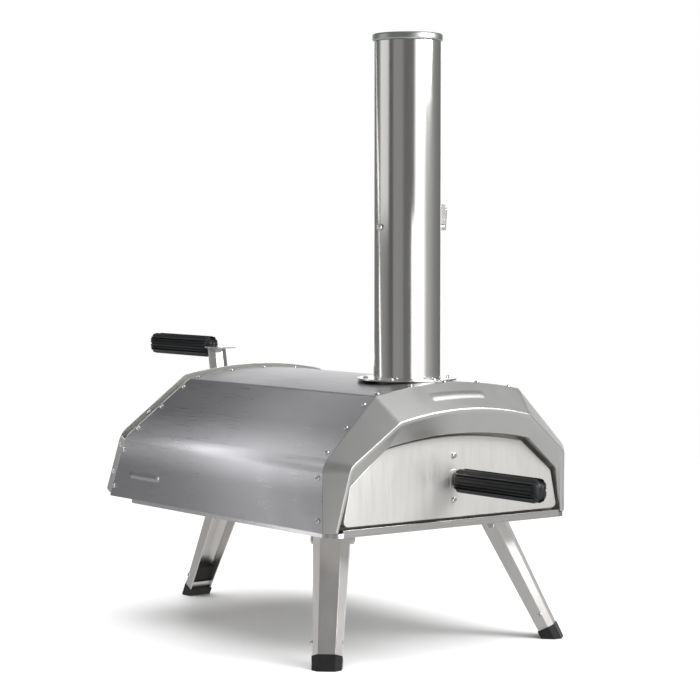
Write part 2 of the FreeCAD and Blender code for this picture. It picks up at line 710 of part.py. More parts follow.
def front_fascia():
    below = SHELL_BOTTOM - OVERRUN
    front_edge = upright(0)
    ridge = leaning(RIDGE_DEPTH, RIDGE_LEAN)
    behind_ridge = leaning(RIDGE_DEPTH - SHEET, RIDGE_LEAN)
    lip = leaning(LIP_DEPTH, LIP_LEAN)
    rear_y = SHEET - FIT_GAP

    hood = loft(SHELL.inset(0, below).wire(front_edge), RIDGE.inset(0, below).wire(ridge))
    recess = loft(RIDGE.inset(RIDGE_LAND, below).wire(ridge), LIP.inset(0, below).wire(lip))
    above = block((-HALF, -OVERRUN, SHELL_BOTTOM), (HALF, rear_y, CROWN_Z))
    form = hood.common(above).cut(recess)
    form = form.makeFillet(RIDGE_ROUND, edges_on(form, ridge))
    under_hood = loft(SHELL.inset(SHEET * 2.5, below).wire(upright(rear_y)),
                      RIDGE.inset(SHEET, below).wire(behind_ridge))

    backing = loft(RIDGE.inset(RIDGE_LAND - SHEET, below).wire(ridge),
                   LIP.inset(-SHEET, below).wire(lip))
    collar = Part.Face(LIP.inset(-SHEET, below).wire(lip)).extrude(Vector(0, OVERRUN, 0))
    through = Part.Face(LIP.inset(0, below).wire(lip)).extrude(Vector(0, OVERRUN, 0))
    inner_band = form.common(backing)
    collar = collar.common(above).cut(through)
    pressed = form.cut(under_hood).fuse(inner_band).fuse(collar)

    skirt = tunnel(SHELL.inset(SKIRT_INSET, FLOOR_TOP + FIT_GAP), 0, FASCIA_SKIRT)
    skirt = skirt.cut(tunnel(SHELL.inset(SKIRT_INSET + SHEET, below), -OVERRUN, OVERRUN))
    fascia = pressed.fuse(skirt)
    for point, normal in FRONT_PLACES:
        fascia = fascia.cut(screw_hole(point, normal, SHEET * 3))
    return fascia.removeSplitter()


# ---- door ------------------------------------------------------------------------------

def grip(start_y, direction, centre_z):
    """Bevelled bar along Y from start_y, with bevelled ends."""
    half_width = GRIP_WIDTH / 2
    half_height = GRIP_HEIGHT / 2
    bar = block((-half_width, 0, -half_height), (half_width, GRIP_LENGTH, half_height))
    long_edges = [edge for edge in bar.Edges if edge.BoundBox.YLength > GRIP_LENGTH / 2]
    bar = bar.makeChamfer(GRIP_BEVEL, long_edges)
    ends = [edge for edge in bar.Edges if edge.BoundBox.YLength < 1]
    bar = bar.makeChamfer(GRIP_END_BEVEL, ends)
    if direction < 0:
        bar = bar.mirror(Vector(0, 0, 0), Vector(0, 1, 0))
    bar.translate(Vector(0, start_y, centre_z))
    return bar


def grip_screw(y, z_low):
    """Countersunk screw up into the tang from the grip's underside."""
    head = Part.makeCone(GRIP_SCREW_HEAD, GRIP_SCREW_RADIUS, GRIP_SCREW_SINK, Vector(0, y, z_low))
    shank = Part.makeCylinder(GRIP_SCREW_RADIUS, GRIP_HEIGHT * 0.6, Vector(0, y, z_low))
    return head.fuse(shank).removeSplitter()


def grip_screws(start_y, direction, centre_z):
    places = [start_y + direction * share * TANG_LENGTH for share in GRIP_SCREW_SHARES]
    return Part.makeCompound([grip_screw(y, centre_z - GRIP_HEIGHT / 2) for y in places])


DOOR_GRIP_Y = -DOOR_FACE - GRIP_STANDOFF
DOOR_PLACES = [(Vector(0, -DOOR_FACE, z), Vector(0, -1, 0)) for z in DOOR_SCREW_Z]


def stadium(half_width, height, centre_z, start_y, end_y):
    """Upright slot shape through the door, with round ends."""
    half = height / 2 - half_width
    slot = block((-half_width, start_y, centre_z - half), (half_width, end_y, centre_z + half))
    for side in (-1, 1):
        z = centre_z + side * half
        slot = slot.fuse(rod((0, start_y, z), (0, end_y, z), half_width))
    return slot.removeSplitter()


def door_tang():
    """Flat bar that passes through the door into the grip."""
    half = TANG_THICKNESS / 2
    return block((-half, DOOR_GRIP_Y - TANG_LENGTH, DOOR_HANDLE_Z - TANG_HEIGHT / 2),
                 (half, -DOOR_FACE + SHEET, DOOR_HANDLE_Z + TANG_HEIGHT / 2))


def door_plate():
    plate = tunnel(DOOR, -DOOR_FACE, -DOOR_FACE + DOOR_RIM)
    plate = plate.makeFillet(DOOR_EDGE_ROUND, edges_on(plate, upright(-DOOR_FACE)))
    plate = plate.cut(tunnel(DOOR.inset(SHEET), -DOOR_FACE + SHEET, OVERRUN))
    boss = stadium(TANG_THICKNESS * 1.6, TANG_HEIGHT * 1.9, DOOR_HANDLE_Z,
                   -DOOR_FACE - SHEET, -DOOR_FACE + SHEET / 2)
    front = [edge for edge in boss.Edges if edge.BoundBox.YMax < -DOOR_FACE - SHEET / 2]
    plate = plate.fuse(boss.makeFillet(SHEET * 0.6, front))
    plate = plate.cut(stadium(TANG_THICKNESS * 0.75, TANG_HEIGHT + TANG_THICKNESS,
                              DOOR_HANDLE_Z, -OVERRUN, OVERRUN))
    for point, normal in DOOR_PLACES:
        plate = plate.cut(screw_hole(point, normal, SHEET * 2))
    return plate.removeSplitter()


PLUG = MOUTH.inset(PLUG_CLEARANCE)


def door_plug():
    """Insulated block on the door's back that fills the mouth."""
    front = -DOOR_FACE + SHEET * 3
    back = front + PLUG_DEPTH
    plug = loft(PLUG.wire(upright(front)), PLUG.inset(PLUG_TAPER).wire(upright(back)))
    for point, normal in DOOR_PLACES:
        plug = plug.cut(screw_hole(point, normal, SHEET * 6))
    return plug


def door_bracket():
    """Steel plate behind the door's face that carries the grip's tang."""
    plate_front = -DOOR_FACE + SHEET
    low = DOOR_SCREW_Z[0] - BRACKET_MARGIN
    high = DOOR_SCREW_Z[1] + BRACKET_MARGIN
    plate = block((-BRACKET_HALF, plate_front, low), (BRACKET_HALF, plate_front + SHEET * 1.6, high))
    bracket = plate.fuse(door_tang())
    for share in GRIP_SCREW_SHARES:
        y = DOOR_GRIP_Y - share * TANG_LENGTH
        bracket = bracket.cut(rod((0, y, DOOR_HANDLE_Z - OVERRUN),
                                  (0, y, DOOR_HANDLE_Z + GRIP_HEIGHT * 0.1 + PIN_CLEARANCE),
                                  GRIP_SCREW_RADIUS + PIN_CLEARANCE))
    for point, normal in DOOR_PLACES:
        bracket = bracket.cut(screw_hole(point, normal, SHEET * 4))
    return bracket.removeSplitter()


def door_grip():
    bar = grip(DOOR_GRIP_Y, -1, DOOR_HANDLE_Z)
    return bar.cut(door_tang()).cut(grip_screws(DOOR_GRIP_Y, -1, DOOR_HANDLE_Z))


def door_screws():
    return Part.makeCompound([
        screw(point, normal, SHEET * 5, HEAD_RADIUS * 1.2) for point, normal in DOOR_PLACES])


# ---- chimney ---------------------------------------------------------------------------

def ring(outer, inner, low_z, high_z):
    """Tube or washer on the chimney's axis."""
    return rod((0, CHIMNEY_Y, low_z), (0, CHIMNEY_Y, high_z), outer).cut(
        rod((0, CHIMNEY_Y, low_z - 1), (0, CHIMNEY_Y, high_z + 1), inner))


def collar_places():
    places = []
    for index in range(COLLAR_SCREWS):
        angle = 2 * math.pi * (index + 0.5) / COLLAR_SCREWS
        x = COLLAR_SCREW_RING * math.cos(angle)
        y = CHIMNEY_Y + COLLAR_SCREW_RING * math.sin(angle)
        places.append(Vector(x, y, COLLAR_Z + COLLAR_PLATE))
    return places


def chimney_collar():
    spigot = ring(SPIGOT_RADIUS, SPIGOT_RADIUS - SHEET, CROWN_Z - SPIGOT_DIP,
                  COLLAR_Z + COLLAR_PLATE + SPIGOT_HEIGHT)
    flange = ring(COLLAR_RADIUS, SPIGOT_RADIUS - SHEET, COLLAR_Z, COLLAR_Z + COLLAR_PLATE)
    collar = flange.fuse(spigot)
    for place in collar_places():
        collar = collar.cut(screw_hole(place, Vector(0, 0, 1), COLLAR_PLATE * 2))
    return collar.removeSplitter()


def collar_screws():
    """Screws through the flange down to the roof's curve."""
    screws = []
    for place in collar_places():
        shank = place.z - SHELL.crown_height(abs(place.x) + SHANK_RADIUS)
        screws.append(screw(place, Vector(0, 0, 1), shank))
    roof = tunnel(SHELL, -OVERRUN, SHELL_LENGTH)
    return Part.makeCompound([each.cut(roof) for each in screws])


def damper_bore(radius, low_x, high_x):
    return rod((low_x, CHIMNEY_Y, DAMPER_Z), (high_x, CHIMNEY_Y, DAMPER_Z), radius)


def chimney_tube():
    tube = ring(TUBE_RADIUS, TUBE_INNER, TUBE_BOTTOM, TUBE_TOP)
    return tube.cut(damper_bore(DAMPER_AXLE_RADIUS + PIN_CLEARANCE, -CAP_RADIUS, CAP_RADIUS))


def chimney_cap():
    lid = rod((0, CHIMNEY_Y, TUBE_TOP + FIT_GAP), (0, CHIMNEY_Y, CHIMNEY_TOP), CAP_RADIUS)
    rims = [edge for edge in lid.Edges if len(edge.Vertexes) == 1]
    lid = lid.makeFillet(CAP_EDGE, rims)
    plug_top = TUBE_TOP + FIT_GAP + SHEET
    plug = ring(TUBE_INNER - SPIGOT_CLEARANCE, TUBE_INNER - SPIGOT_CLEARANCE - SHEET,
                TUBE_TOP - CAP_PLUG, plug_top)
    hollow = rod((0, CHIMNEY_Y, TUBE_TOP), (0, CHIMNEY_Y, CHIMNEY_TOP - SHEET * 2),
                 TUBE_INNER - SPIGOT_CLEARANCE - SHEET)
    return lid.cut(hollow).fuse(plug).removeSplitter()


DAMPER_PLATE_Y = CHIMNEY_Y + DAMPER_AXLE_RADIUS + PIN_CLEARANCE
DAMPER_SCREW_X = 20.0


def damper_plate():
    """Disc beside the axle, upright when the flue is open."""
    radius = TUBE_INNER - DAMPER_GAP
    disc = rod((0, DAMPER_PLATE_Y, DAMPER_Z), (0, DAMPER_PLATE_Y + SHEET, DAMPER_Z), radius)
    for side in (-1, 1):
        disc = disc.cut(screw_hole(Vector(side * DAMPER_SCREW_X, DAMPER_PLATE_Y, DAMPER_Z),
                                   Vector(0, 1, 0), SHEET * 3))
    return disc


def damper_screws():
    return Part.makeCompound([
        screw(Vector(side * DAMPER_SCREW_X, DAMPER_PLATE_Y + SHEET, DAMPER_Z), Vector(0, 1, 0),
              SHEET + DAMPER_AXLE_RADIUS, HEAD_RADIUS * 0.8) for side in (-1, 1)])


def damper_axle():
    """Rod across the tube with a round head outside on the left."""
    head_x = -TUBE_RADIUS - MOVING_GAP
    axle = damper_bore(DAMPER_AXLE_RADIUS, head_x, LEVER_REACH - LEVER_THICKNESS - FIT_GAP)
    head = damper_bore(KNOB_RADIUS, head_x - KNOB_HEIGHT, head_x)
    rim = [edge for edge in head.Edges
           if len(edge.Vertexes) == 1 and edge.Vertexes[0].Point.x < head_x - KNOB_HEIGHT / 2]
    head = head.makeFillet(KNOB_ROUND, rim)
    axle = axle.fuse(head)
    for side in (-1, 1):
        axle = axle.cut(screw_hole(Vector(side * DAMPER_SCREW_X, DAMPER_PLATE_Y, DAMPER_Z),
                                   Vector(0, 1, 0), DAMPER_AXLE_RADIUS + PIN_CLEARANCE))
    return axle


def damper_lever():
    """Flat lever standing up from the axle's right end, narrower at its foot."""
    low_x = LEVER_REACH - LEVER_THICKNESS
    half = LEVER_WIDTH / 2
    low = DAMPER_Z - DAMPER_AXLE_RADIUS * 1.6
    top = DAMPER_Z + LEVER_RISE
    points = [(CHIMNEY_Y - half * 0.6, low), (CHIMNEY_Y + half * 0.6, low),
              (CHIMNEY_Y + half, top - half), (CHIMNEY_Y + half * 0.4, top),
              (CHIMNEY_Y - half * 0.4, top), (CHIMNEY_Y - half, top - half)]
    lever = prism_yz(points, low_x, LEVER_REACH)
    hub = damper_bore(DAMPER_AXLE_RADIUS * 1.6, TUBE_RADIUS + MOVING_GAP, low_x)
    hub = hub.cut(damper_bore(DAMPER_AXLE_RADIUS, 0, low_x))
    return lever.fuse(hub).removeSplitter()


# ---- rear: fascia, fuel box, tray and hatch --------------------------------------------

def pan_places():
    """Screws around the rear fascia's edge."""
    middle = RAKE_NORMAL * (REAR_DEPTH * 0.45)
    normals = SHELL.normals()
    spots = [(Vector(HALF, 0, SHELL_BOTTOM + REAR_SCREW_LOW), -normals[1]),
             (Vector(HALF, 0, SHOULDER_Z - REAR_SCREW_HIGH), -normals[1]),
             (SHELL.shoulder + (SHELL.eave - SHELL.shoulder) * REAR_SCREW_SHARE, -normals[2])]
    spots += [(Vector(-p.x, 0, p.z), Vector(-n.x, 0, n.z)) for p, n in spots]
    return [(raked(0)(point) + middle, normal) for point, normal in spots]


PAN_PLACES = pan_places()


def rear_fascia():
    pan = raked_slab(PAN, FIT_GAP, REAR_DEPTH)
    pan = pan.makeFillet(REAR_ROUND, edges_on(pan, raked(REAR_DEPTH + FIT_GAP)))
    inside = raked_slab(PAN.inset(SHEET), -OVERRUN / 4, OVERRUN / 4 + REAR_DEPTH - SHEET)
    inside = inside.makeFillet(REAR_ROUND - SHEET, edges_on(inside, raked(REAR_DEPTH - SHEET)))
    core = SHELL.inset(SKIRT_INSET + SHEET, SHELL_BOTTOM - OVERRUN)
    skirt = raked_slice(SHELL.inset(SKIRT_INSET, FLOOR_TOP + FIT_GAP), -REAR_SKIRT,
                        FIT_GAP + SHEET)
    skirt = skirt.cut(tunnel(core, 0, SHELL_LENGTH + OVERRUN))
    step = raked_slab(PAN, FIT_GAP, SHEET)
    step = step.cut(raked_slab(PAN.inset(SKIRT_INSET + SHEET), -SHEET, SHEET * 3))
    fascia = pan.cut(inside).fuse(step).fuse(skirt).cut(port(0))
    for point, normal in REAR_PLACES + PAN_PLACES:
        fascia = fascia.cut(screw_hole(point, normal, SHEET * 3))
    return fascia.removeSplitter()


def fuel_profile(inset):
    """Side view of the fuel box, from the rear fascia backwards."""
    seat = REAR_DEPTH + 2 * FIT_GAP
    return [(rake_y(FUEL_BOTTOM + inset, seat), FUEL_BOTTOM + inset),
            (FUEL_REAR - inset, FUEL_BOTTOM + inset),
            (FUEL_REAR - inset, FUEL_TOP - inset),
            (rake_y(FUEL_TOP - inset, seat), FUEL_TOP - inset)]


def flange_places():
    """Screws through the fuel box's flanges into the rear fascia."""
    seat = REAR_DEPTH + 2 * FIT_GAP + SHEET
    x = FUEL_HALF + FUEL_FLANGE / 2
    return [(Vector(side * x, rake_y(z, seat), z), RAKE_NORMAL)
            for side in (-1, 1) for z in (FUEL_BOTTOM + FUEL_SCREW_IN, FUEL_TOP - FUEL_SCREW_IN)]


def fuel_box():
    """Sheet box with an open front, an open top and a slot for the tray."""
    seat = REAR_DEPTH + 2 * FIT_GAP
    box = prism_yz(fuel_profile(0), -FUEL_HALF, FUEL_HALF)
    inner = fuel_profile(SHEET)
    inner = [(inner[0][0] - OVERRUN, inner[0][1]), inner[1],
             (inner[2][0], FUEL_TOP + OVERRUN), (inner[3][0] - OVERRUN, FUEL_TOP + OVERRUN)]
    box = box.cut(prism_yz(inner, -FUEL_HALF + SHEET, FUEL_HALF - SHEET))
    slot_half = FUEL_TRAY_HALF + MOVING_GAP
    box = box.cut(block((-slot_half, FUEL_REAR - OVERRUN / 2, FUEL_BOTTOM + SHEET),
                        (slot_half, FUEL_REAR + 1,
                         FUEL_FLOOR + FUEL_TRAY_HEIGHT + GRATE_THICKNESS + MOVING_GAP)))
    low = Vector(0, rake_y(FUEL_BOTTOM, seat), FUEL_BOTTOM)
    high = Vector(0, rake_y(FUEL_TOP, seat), FUEL_TOP)
    for side in (-1, 1):
        near = Vector(side * (FUEL_HALF - SHEET), 0, 0)
        far = Vector(side * (FUEL_HALF + FUEL_FLANGE), 0, 0)
        flange = prism_along([low + near, low + far, high + far, high + near],
                             RAKE_NORMAL * SHEET)
        box = box.fuse(flange)
    for point, normal in flange_places():
        box = box.cut(screw_hole(point, normal, SHEET * 2))
    return box.removeSplitter()


def fuel_box_screws():
    return Part.makeCompound([screw(point, normal, SHEET + FIT_GAP)
                              for point, normal in flange_places()])


def fuel_tray():
    """Ash pan with a front plate outside the fuel box and a folded pull."""
    top = FUEL_FLOOR + FUEL_TRAY_HEIGHT
    pan = block((-FUEL_TRAY_HALF, FUEL_TRAY_FRONT, FUEL_FLOOR),
                (FUEL_TRAY_HALF, FUEL_REAR + MOVING_GAP, top))
    pan = pan.cut(block((-FUEL_TRAY_HALF + SHEET, FUEL_TRAY_FRONT + SHEET, FUEL_FLOOR + SHEET),
                        (FUEL_TRAY_HALF - SHEET, FUEL_REAR - 1, top + 1)))
    plate_y = FUEL_REAR + MOVING_GAP
    half = FUEL_TRAY_HALF + FUEL_TRAY_PLATE_MARGIN
    plate = block((-half, plate_y, FUEL_BOTTOM), (half, plate_y + SHEET, top + PULL_BACKING))
    pull_z = top - PULL_DROP
    pull = block((-PULL_HALF, plate_y, pull_z), (PULL_HALF, plate_y + PULL_REACH, pull_z + SHEET))
    lip = block((-PULL_HALF, plate_y + PULL_REACH - SHEET, pull_z - PULL_LIP),
                (PULL_HALF, plate_y + PULL_REACH, pull_z + SHEET))
    return pan.fuse(plate).fuse(pull).fuse(lip).removeSplitter()


def fuel_grate():
    """Slotted plate that rests on the tray's walls."""
    low = FUEL_FLOOR + FUEL_TRAY_HEIGHT
    plate = block((-FUEL_TRAY_HALF, FUEL_TRAY_FRONT, low),
                  (FUEL_TRAY_HALF, FUEL_REAR - SHEET, low + GRATE_THICKNESS))
    length = FUEL_REAR - SHEET - FUEL_TRAY_FRONT
    pitch = length / (GRATE_SLOTS + 1)
    slot_half = FUEL_TRAY_HALF * GRATE_SLOT_SHARE
    for index in range(GRATE_SLOTS):
        y = FUEL_TRAY_FRONT + pitch * (index + 1)
        plate = plate.cut(block((-slot_half, y - GRATE_SLOT_WIDTH / 2, low - OVERRUN),
                                (slot_half, y + GRATE_SLOT_WIDTH / 2, low + OVERRUN)))
    return plate


HATCH_FRONT = rake_y(FUEL_TOP, REAR_DEPTH + 2 * FIT_GAP) + HATCH_SETBACK
HATCH_Z = FUEL_TOP + FIT_GAP


def hatch_plate():
    """Lid of the fuel box, with lips that hang outside its walls."""
    side = FUEL_HALF + MOVING_GAP + SHEET
    rear = FUEL_REAR + MOVING_GAP + SHEET
    lid = block((-side, HATCH_FRONT, HATCH_Z - HATCH_LIP), (side, rear, HATCH_Z + SHEET))
    core = block((-side + SHEET, HATCH_FRONT - 1, HATCH_Z - OVERRUN),
                 (side - SHEET, rear - SHEET, HATCH_Z))
    lid = lid.cut(core)
    for point, normal in hatch_places():
        lid = lid.cut(screw_hole(point, normal, SHEET * 3))
    return lid


def hatch_places():
    """Screws through the riser's foot and the lid."""
    return [(Vector(x, RISER_FOOT_Y - TAB_SCREW_SETBACK, HATCH_Z + SHEET + HATCH_TAB), Vector(0, 0, 1))
            for x in (-TAB_SCREW_X, TAB_SCREW_X)]


def hatch_plug():
    """Heat shield under the lid, inside the fuel box."""
    half = FUEL_HALF - SHEET - MOVING_GAP * 2
    front = HATCH_FRONT + HATCH_SETBACK
    rear = FUEL_REAR - SHEET - MOVING_GAP * 2
    return block((-half, front, HATCH_Z - HATCH_PLUG), (half, rear, HATCH_Z - 0.1)).cut(
        block((-half + SHEET, front + SHEET, HATCH_Z - HATCH_PLUG - 1),
              (half - SHEET, rear - SHEET, HATCH_Z - 0.1 - SHEET))).cut(
        screw_hole(*hatch_places()[0])).cut(screw_hole(*hatch_places()[1]))


def hatch_tang():
    half = GRIP_WIDTH * 0.35
    low = RISER_TOP - HATCH_TAB
    return block((-half, HATCH_TAB_FRONT, low), (half, HATCH_GRIP_Y + TANG_LENGTH, RISER_TOP))


def hatch_bracket():
    """Folded strip: a foot on the lid, a leaning riser and a tab into the grip."""
    foot_z = HATCH_Z + SHEET
    side = RISER_FACE / 2
    edge = side + RISER_BEVEL
    outer = [(-edge, RISER_BEVEL * 0.5), (-side, 0.0), (side, 0.0), (edge, RISER_BEVEL * 0.5)]
    inner = [(x, y + HATCH_TAB) for x, y in reversed(outer)]
    rise = RISER_TOP - HATCH_TAB / 2 - foot_z
    corners = [Vector(x, RISER_FOOT_Y + y, foot_z) for x, y in outer + inner]
    riser = prism_along(corners, Vector(0, rise * RISER_LEAN, rise))
    foot = block((-edge, RISER_FOOT_Y - TAB_REACH, foot_z),
                 (edge, RISER_FOOT_Y + HATCH_TAB, foot_z + HATCH_TAB))
    tab = block((-edge, HATCH_TAB_FRONT, RISER_TOP - HATCH_TAB),
                (edge, HATCH_GRIP_Y - FIT_GAP, RISER_TOP))
    bracket = riser.fuse(foot).fuse(tab).fuse(hatch_tang())
    for point, normal in hatch_places():
        bracket = bracket.cut(screw_hole(point, normal, HATCH_TAB * 2))
    for share in GRIP_SCREW_SHARES:
        y = HATCH_GRIP_Y + share * TANG_LENGTH
        bracket = bracket.cut(rod((0, y, RISER_TOP - OVERRUN), (0, y, RISER_TOP + 1),
                                  GRIP_SCREW_RADIUS + PIN_CLEARANCE))
    return bracket.removeSplitter()


HATCH_GRIP_Z = RISER_TOP - HATCH_TAB / 2


def hatch_grip():
    bar = grip(HATCH_GRIP_Y, 1, HATCH_GRIP_Z)
    return bar.cut(hatch_tang()).cut(grip_screws(HATCH_GRIP_Y, 1, HATCH_GRIP_Z))


def hatch_screws():
    return Part.makeCompound([screw(point, normal, HATCH_TAB + SHEET * 2)
                              for point, normal in hatch_places()])


# ---- legs ------------------------------------------------------------------------------

class Leg:
    """One folding leg: its pivot, the way it splays and its tilt from the vertical."""

    def __init__(self, name, foot_x, foot_y, splay_degrees, tilt_degrees, deck):
        splay = math.radians(splay_degrees)
        tilt = math.radians(tilt_degrees)
        self.name = name
        self.deck = deck
        self.outward = Vector(math.sin(splay), -math.cos(splay), 0)
        self.axis = Vector(0, 0, 1).cross(self.outward)
        up = Vector(0, 0, 1)
        self.down = self.outward * math.sin(tilt) - up * math.cos(tilt)
        self.normal = self.outward * math.cos(tilt) + up * math.sin(tilt)
        foot_depth = PIVOT_DEPTH - LEG_FOOT_DEPTH / 2
        self.length = (PIVOT_Z + foot_depth * math.sin(tilt)) / math.cos(tilt)
        reach = self.length * math.sin(tilt) + foot_depth * math.cos(tilt)
        self.pivot = Vector(foot_x, foot_y, PIVOT_Z) - self.outward * reach

    def at(self, across, depth, along):
        """Point across the leg, at a depth below its outer face, along it from the pivot."""
        return (self.pivot + self.axis * across + self.normal * (PIVOT_DEPTH - depth)
                + self.down * along)

    def section(self, along, grow=0.0, solid=False):
        """Folded section at a place along the leg, as a closed polygon."""
        share = along / self.length
        face = (LEG_TOP_FACE + (LEG_FOOT_FACE - LEG_TOP_FACE) * share) / 2
        bevel = LEG_TOP_BEVEL + (LEG_FOOT_BEVEL - LEG_TOP_BEVEL) * share
        depth = LEG_TOP_DEPTH + (LEG_FOOT_DEPTH - LEG_TOP_DEPTH) * share
        edge = face + bevel
        slant = grow * math.tan(math.pi / 8)
        outer = [(-edge - grow, depth + max(grow, 0)), (-edge - grow, bevel - slant),
                 (-face - slant, -grow), (face + slant, -grow),
                 (edge + grow, bevel - slant), (edge + grow, depth + max(grow, 0))]
        if solid:
            outline = outer
        else:
            wall = LEG_SHEET
            inset = wall * math.tan(math.pi / 8)
            inner = [(edge - wall, depth), (edge - wall, bevel + inset), (face - inset, wall),
                     (-face + inset, wall), (-edge + wall, bevel + inset), (-edge + wall, depth)]
            outline = outer + inner
        points = [self.at(across, deep, along) for across, deep in outline]
        return Part.makePolygon(points + points[:1])

    def half_width(self, along):
        share = along / self.length
        return ((LEG_TOP_FACE + (LEG_FOOT_FACE - LEG_TOP_FACE) * share) / 2
                + LEG_TOP_BEVEL + (LEG_FOOT_BEVEL - LEG_TOP_BEVEL) * share)

    def along_at(self, z):
        """Distance along the leg's middle at which it is at a height."""
        depth = PIVOT_DEPTH - LEG_FOOT_DEPTH / 2
        return (PIVOT_Z + self.normal.z * depth - z) / -self.down.z

    def bolt(self, radius, low, high):
        start = self.pivot + self.axis * low
        return Part.makeCylinder(radius, high - low, start, self.axis)


def above_floor(height=0.0):
    """Everything above a height, for cutting the legs and feet level."""
    size = SHELL_LENGTH * 4
    return Part.makeBox(size, size, size, Vector(-size / 2, -size / 2, height))


def screw_cut(leg, along, depth):
    """Bore across the leg for its foot screws."""
    reach = leg.half_width(along) + BORE_OVERRUN
    start = leg.at(-reach, depth, along)
    return Part.makeCylinder(SHANK_RADIUS + PIN_CLEARANCE, 2 * reach, start, leg.axis)


def channel_blank(leg):
    """The folded channel before drilling, cut level just above the floor."""
    blank = loft(leg.section(-LEG_RISE), leg.section(leg.length + LEG_FOOT_DEPTH / 2))
    return blank.common(above_floor(FOOT_SOLE))


def foot_screw_along(leg):
    return leg.along_at(FOOT_HEIGHT + STRAP_HEIGHT + FOOT_SCREW_RISE)


def leg_channel(leg):
    reach = leg.half_width(0) + BORE_OVERRUN
    channel = channel_blank(leg).cut(leg.bolt(HINGE_RADIUS + PIN_CLEARANCE, -reach, reach))
    return channel.cut(screw_cut(leg, foot_screw_along(leg), LEG_FOOT_DEPTH / 2))


def leg_foot(leg):
    """Black foot: a cap around the end of the channel and a plug inside it."""
    cap_top = leg.along_at(FOOT_HEIGHT)
    plug_top = leg.along_at(PLUG_TOP)
    below = leg.length + LEG_FOOT_DEPTH
    cap = loft(leg.section(cap_top, FOOT_WALL, True), leg.section(below, FOOT_WALL, True))
    plug = loft(leg.section(plug_top, -LEG_SHEET, True), leg.section(below, -LEG_SHEET, True))
    trim = [leg.at(-OVERRUN, LEG_FOOT_DEPTH - PLUG_TRIM_IN, plug_top - 1),
            leg.at(-OVERRUN, LEG_FOOT_DEPTH + PLUG_TRIM_OUT, plug_top - 1),
            leg.at(-OVERRUN, LEG_FOOT_DEPTH + PLUG_TRIM_OUT, cap_top),
            leg.at(-OVERRUN, LEG_FOOT_DEPTH - PLUG_TRIM_IN, cap_top)]
    plug = plug.cut(prism_along(trim, leg.axis * (2 * OVERRUN)))
    foot = cap.fuse(plug).common(above_floor())
    foot = foot.cut(channel_blank(leg))
    foot = foot.cut(screw_cut(leg, foot_screw_along(leg), LEG_FOOT_DEPTH / 2))
    return foot.removeSplitter()


def leg_strap(leg):
    """Steel strap across the open side of the channel, above the foot."""
    low = leg.along_at(FOOT_HEIGHT) - STRAP_LAP
    high = low - STRAP_HEIGHT
    depth = LEG_FOOT_DEPTH - STRAP_SETBACK
    half_low = leg.half_width(low) - LEG_SHEET - FIT_GAP
    half_high = leg.half_width(high) - LEG_SHEET - FIT_GAP
    points = [leg.at(-half_low, depth, low), leg.at(half_low, depth, low),
              leg.at(half_high, depth, high), leg.at(-half_high, depth, high)]
    return prism_along(points, leg.normal * -SHEET)


def foot_screws(leg):
    """Screws on both sides of the channel into the foot's plug."""
    along = foot_screw_along(leg)
    half = leg.half_width(along)
    return Part.makeCompound([
        screw(leg.at(side * (half + FIT_GAP), LEG_FOOT_DEPTH / 2, along), leg.axis * side, FOOT_SCREW_SHANK)
        for side in (-1, 1)])


def leg_bracket(leg):
    """Folded bracket under the floor: a plate and two ears for the hinge bolt."""
    ear_top = leg.deck - FIT_GAP
    back = leg.pivot - leg.outward * BRACKET_REACH
    parts = []
    for side in (-1, 1):
        start = EAR_HALF - EAR_SHEET if side > 0 else -EAR_HALF
        disc = leg.bolt(EAR_RADIUS, start, start + EAR_SHEET)
        low_near = leg.pivot + leg.axis * start + leg.outward * EAR_RADIUS
        low_far = leg.pivot + leg.axis * start - leg.outward * EAR_RADIUS
        high_near = Vector(low_near.x, low_near.y, ear_top)
        back_high = Vector(*(back + leg.axis * start))
        back_high.z = ear_top
        web = prism_along([low_near, low_far, back_high, high_near], leg.axis * EAR_SHEET)
        parts.append(disc.fuse(web))
    near = leg.pivot + leg.outward * EAR_RADIUS - leg.axis * EAR_HALF
    near.z = ear_top
    far = Vector(*(back - leg.axis * EAR_HALF))
    far.z = ear_top
    width = leg.axis * (2 * EAR_HALF)
    plate = prism_along([near, far, far + width, near + width], Vector(0, 0, -EAR_SHEET))
    bracket = plate.fuse(parts[0]).fuse(parts[1])
    bracket = bracket.cut(leg.bolt(HINGE_RADIUS + PIN_CLEARANCE, -OVERRUN, OVERRUN))
    return bracket.removeSplitter()


def hinge_bolt(leg):
    """Bolt across the leg with its nut."""
    reach = leg.half_width(0) + MOVING_GAP
    bolt = leg.bolt(HINGE_RADIUS, -reach - 1, reach + BOLT_END)
    head = leg.bolt(HINGE_RADIUS * 1.9, -reach - BOLT_HEAD, -reach)
    dome = [edge for edge in head.Edges if len(edge.Vertexes) == 1
            and (edge.Vertexes[0].Point - leg.pivot).dot(leg.axis) < -reach - 2]
    bolt = bolt.fuse(head.makeFillet(BOLT_ROUND, dome)).removeSplitter()
    side = leg.normal.cross(leg.axis)
    corners = []
    for index in range(NUT_SIDES):
        angle = 2 * math.pi * index / NUT_SIDES
        spoke = leg.normal * math.cos(angle) + side * math.sin(angle)
        corners.append(leg.pivot + leg.axis * reach + spoke * (HINGE_RADIUS * 1.9))
    nut = prism_along(corners, leg.axis * NUT_HEIGHT).cut(leg.bolt(HINGE_RADIUS, 0, OVERRUN))
    return Part.makeCompound([bolt, nut])


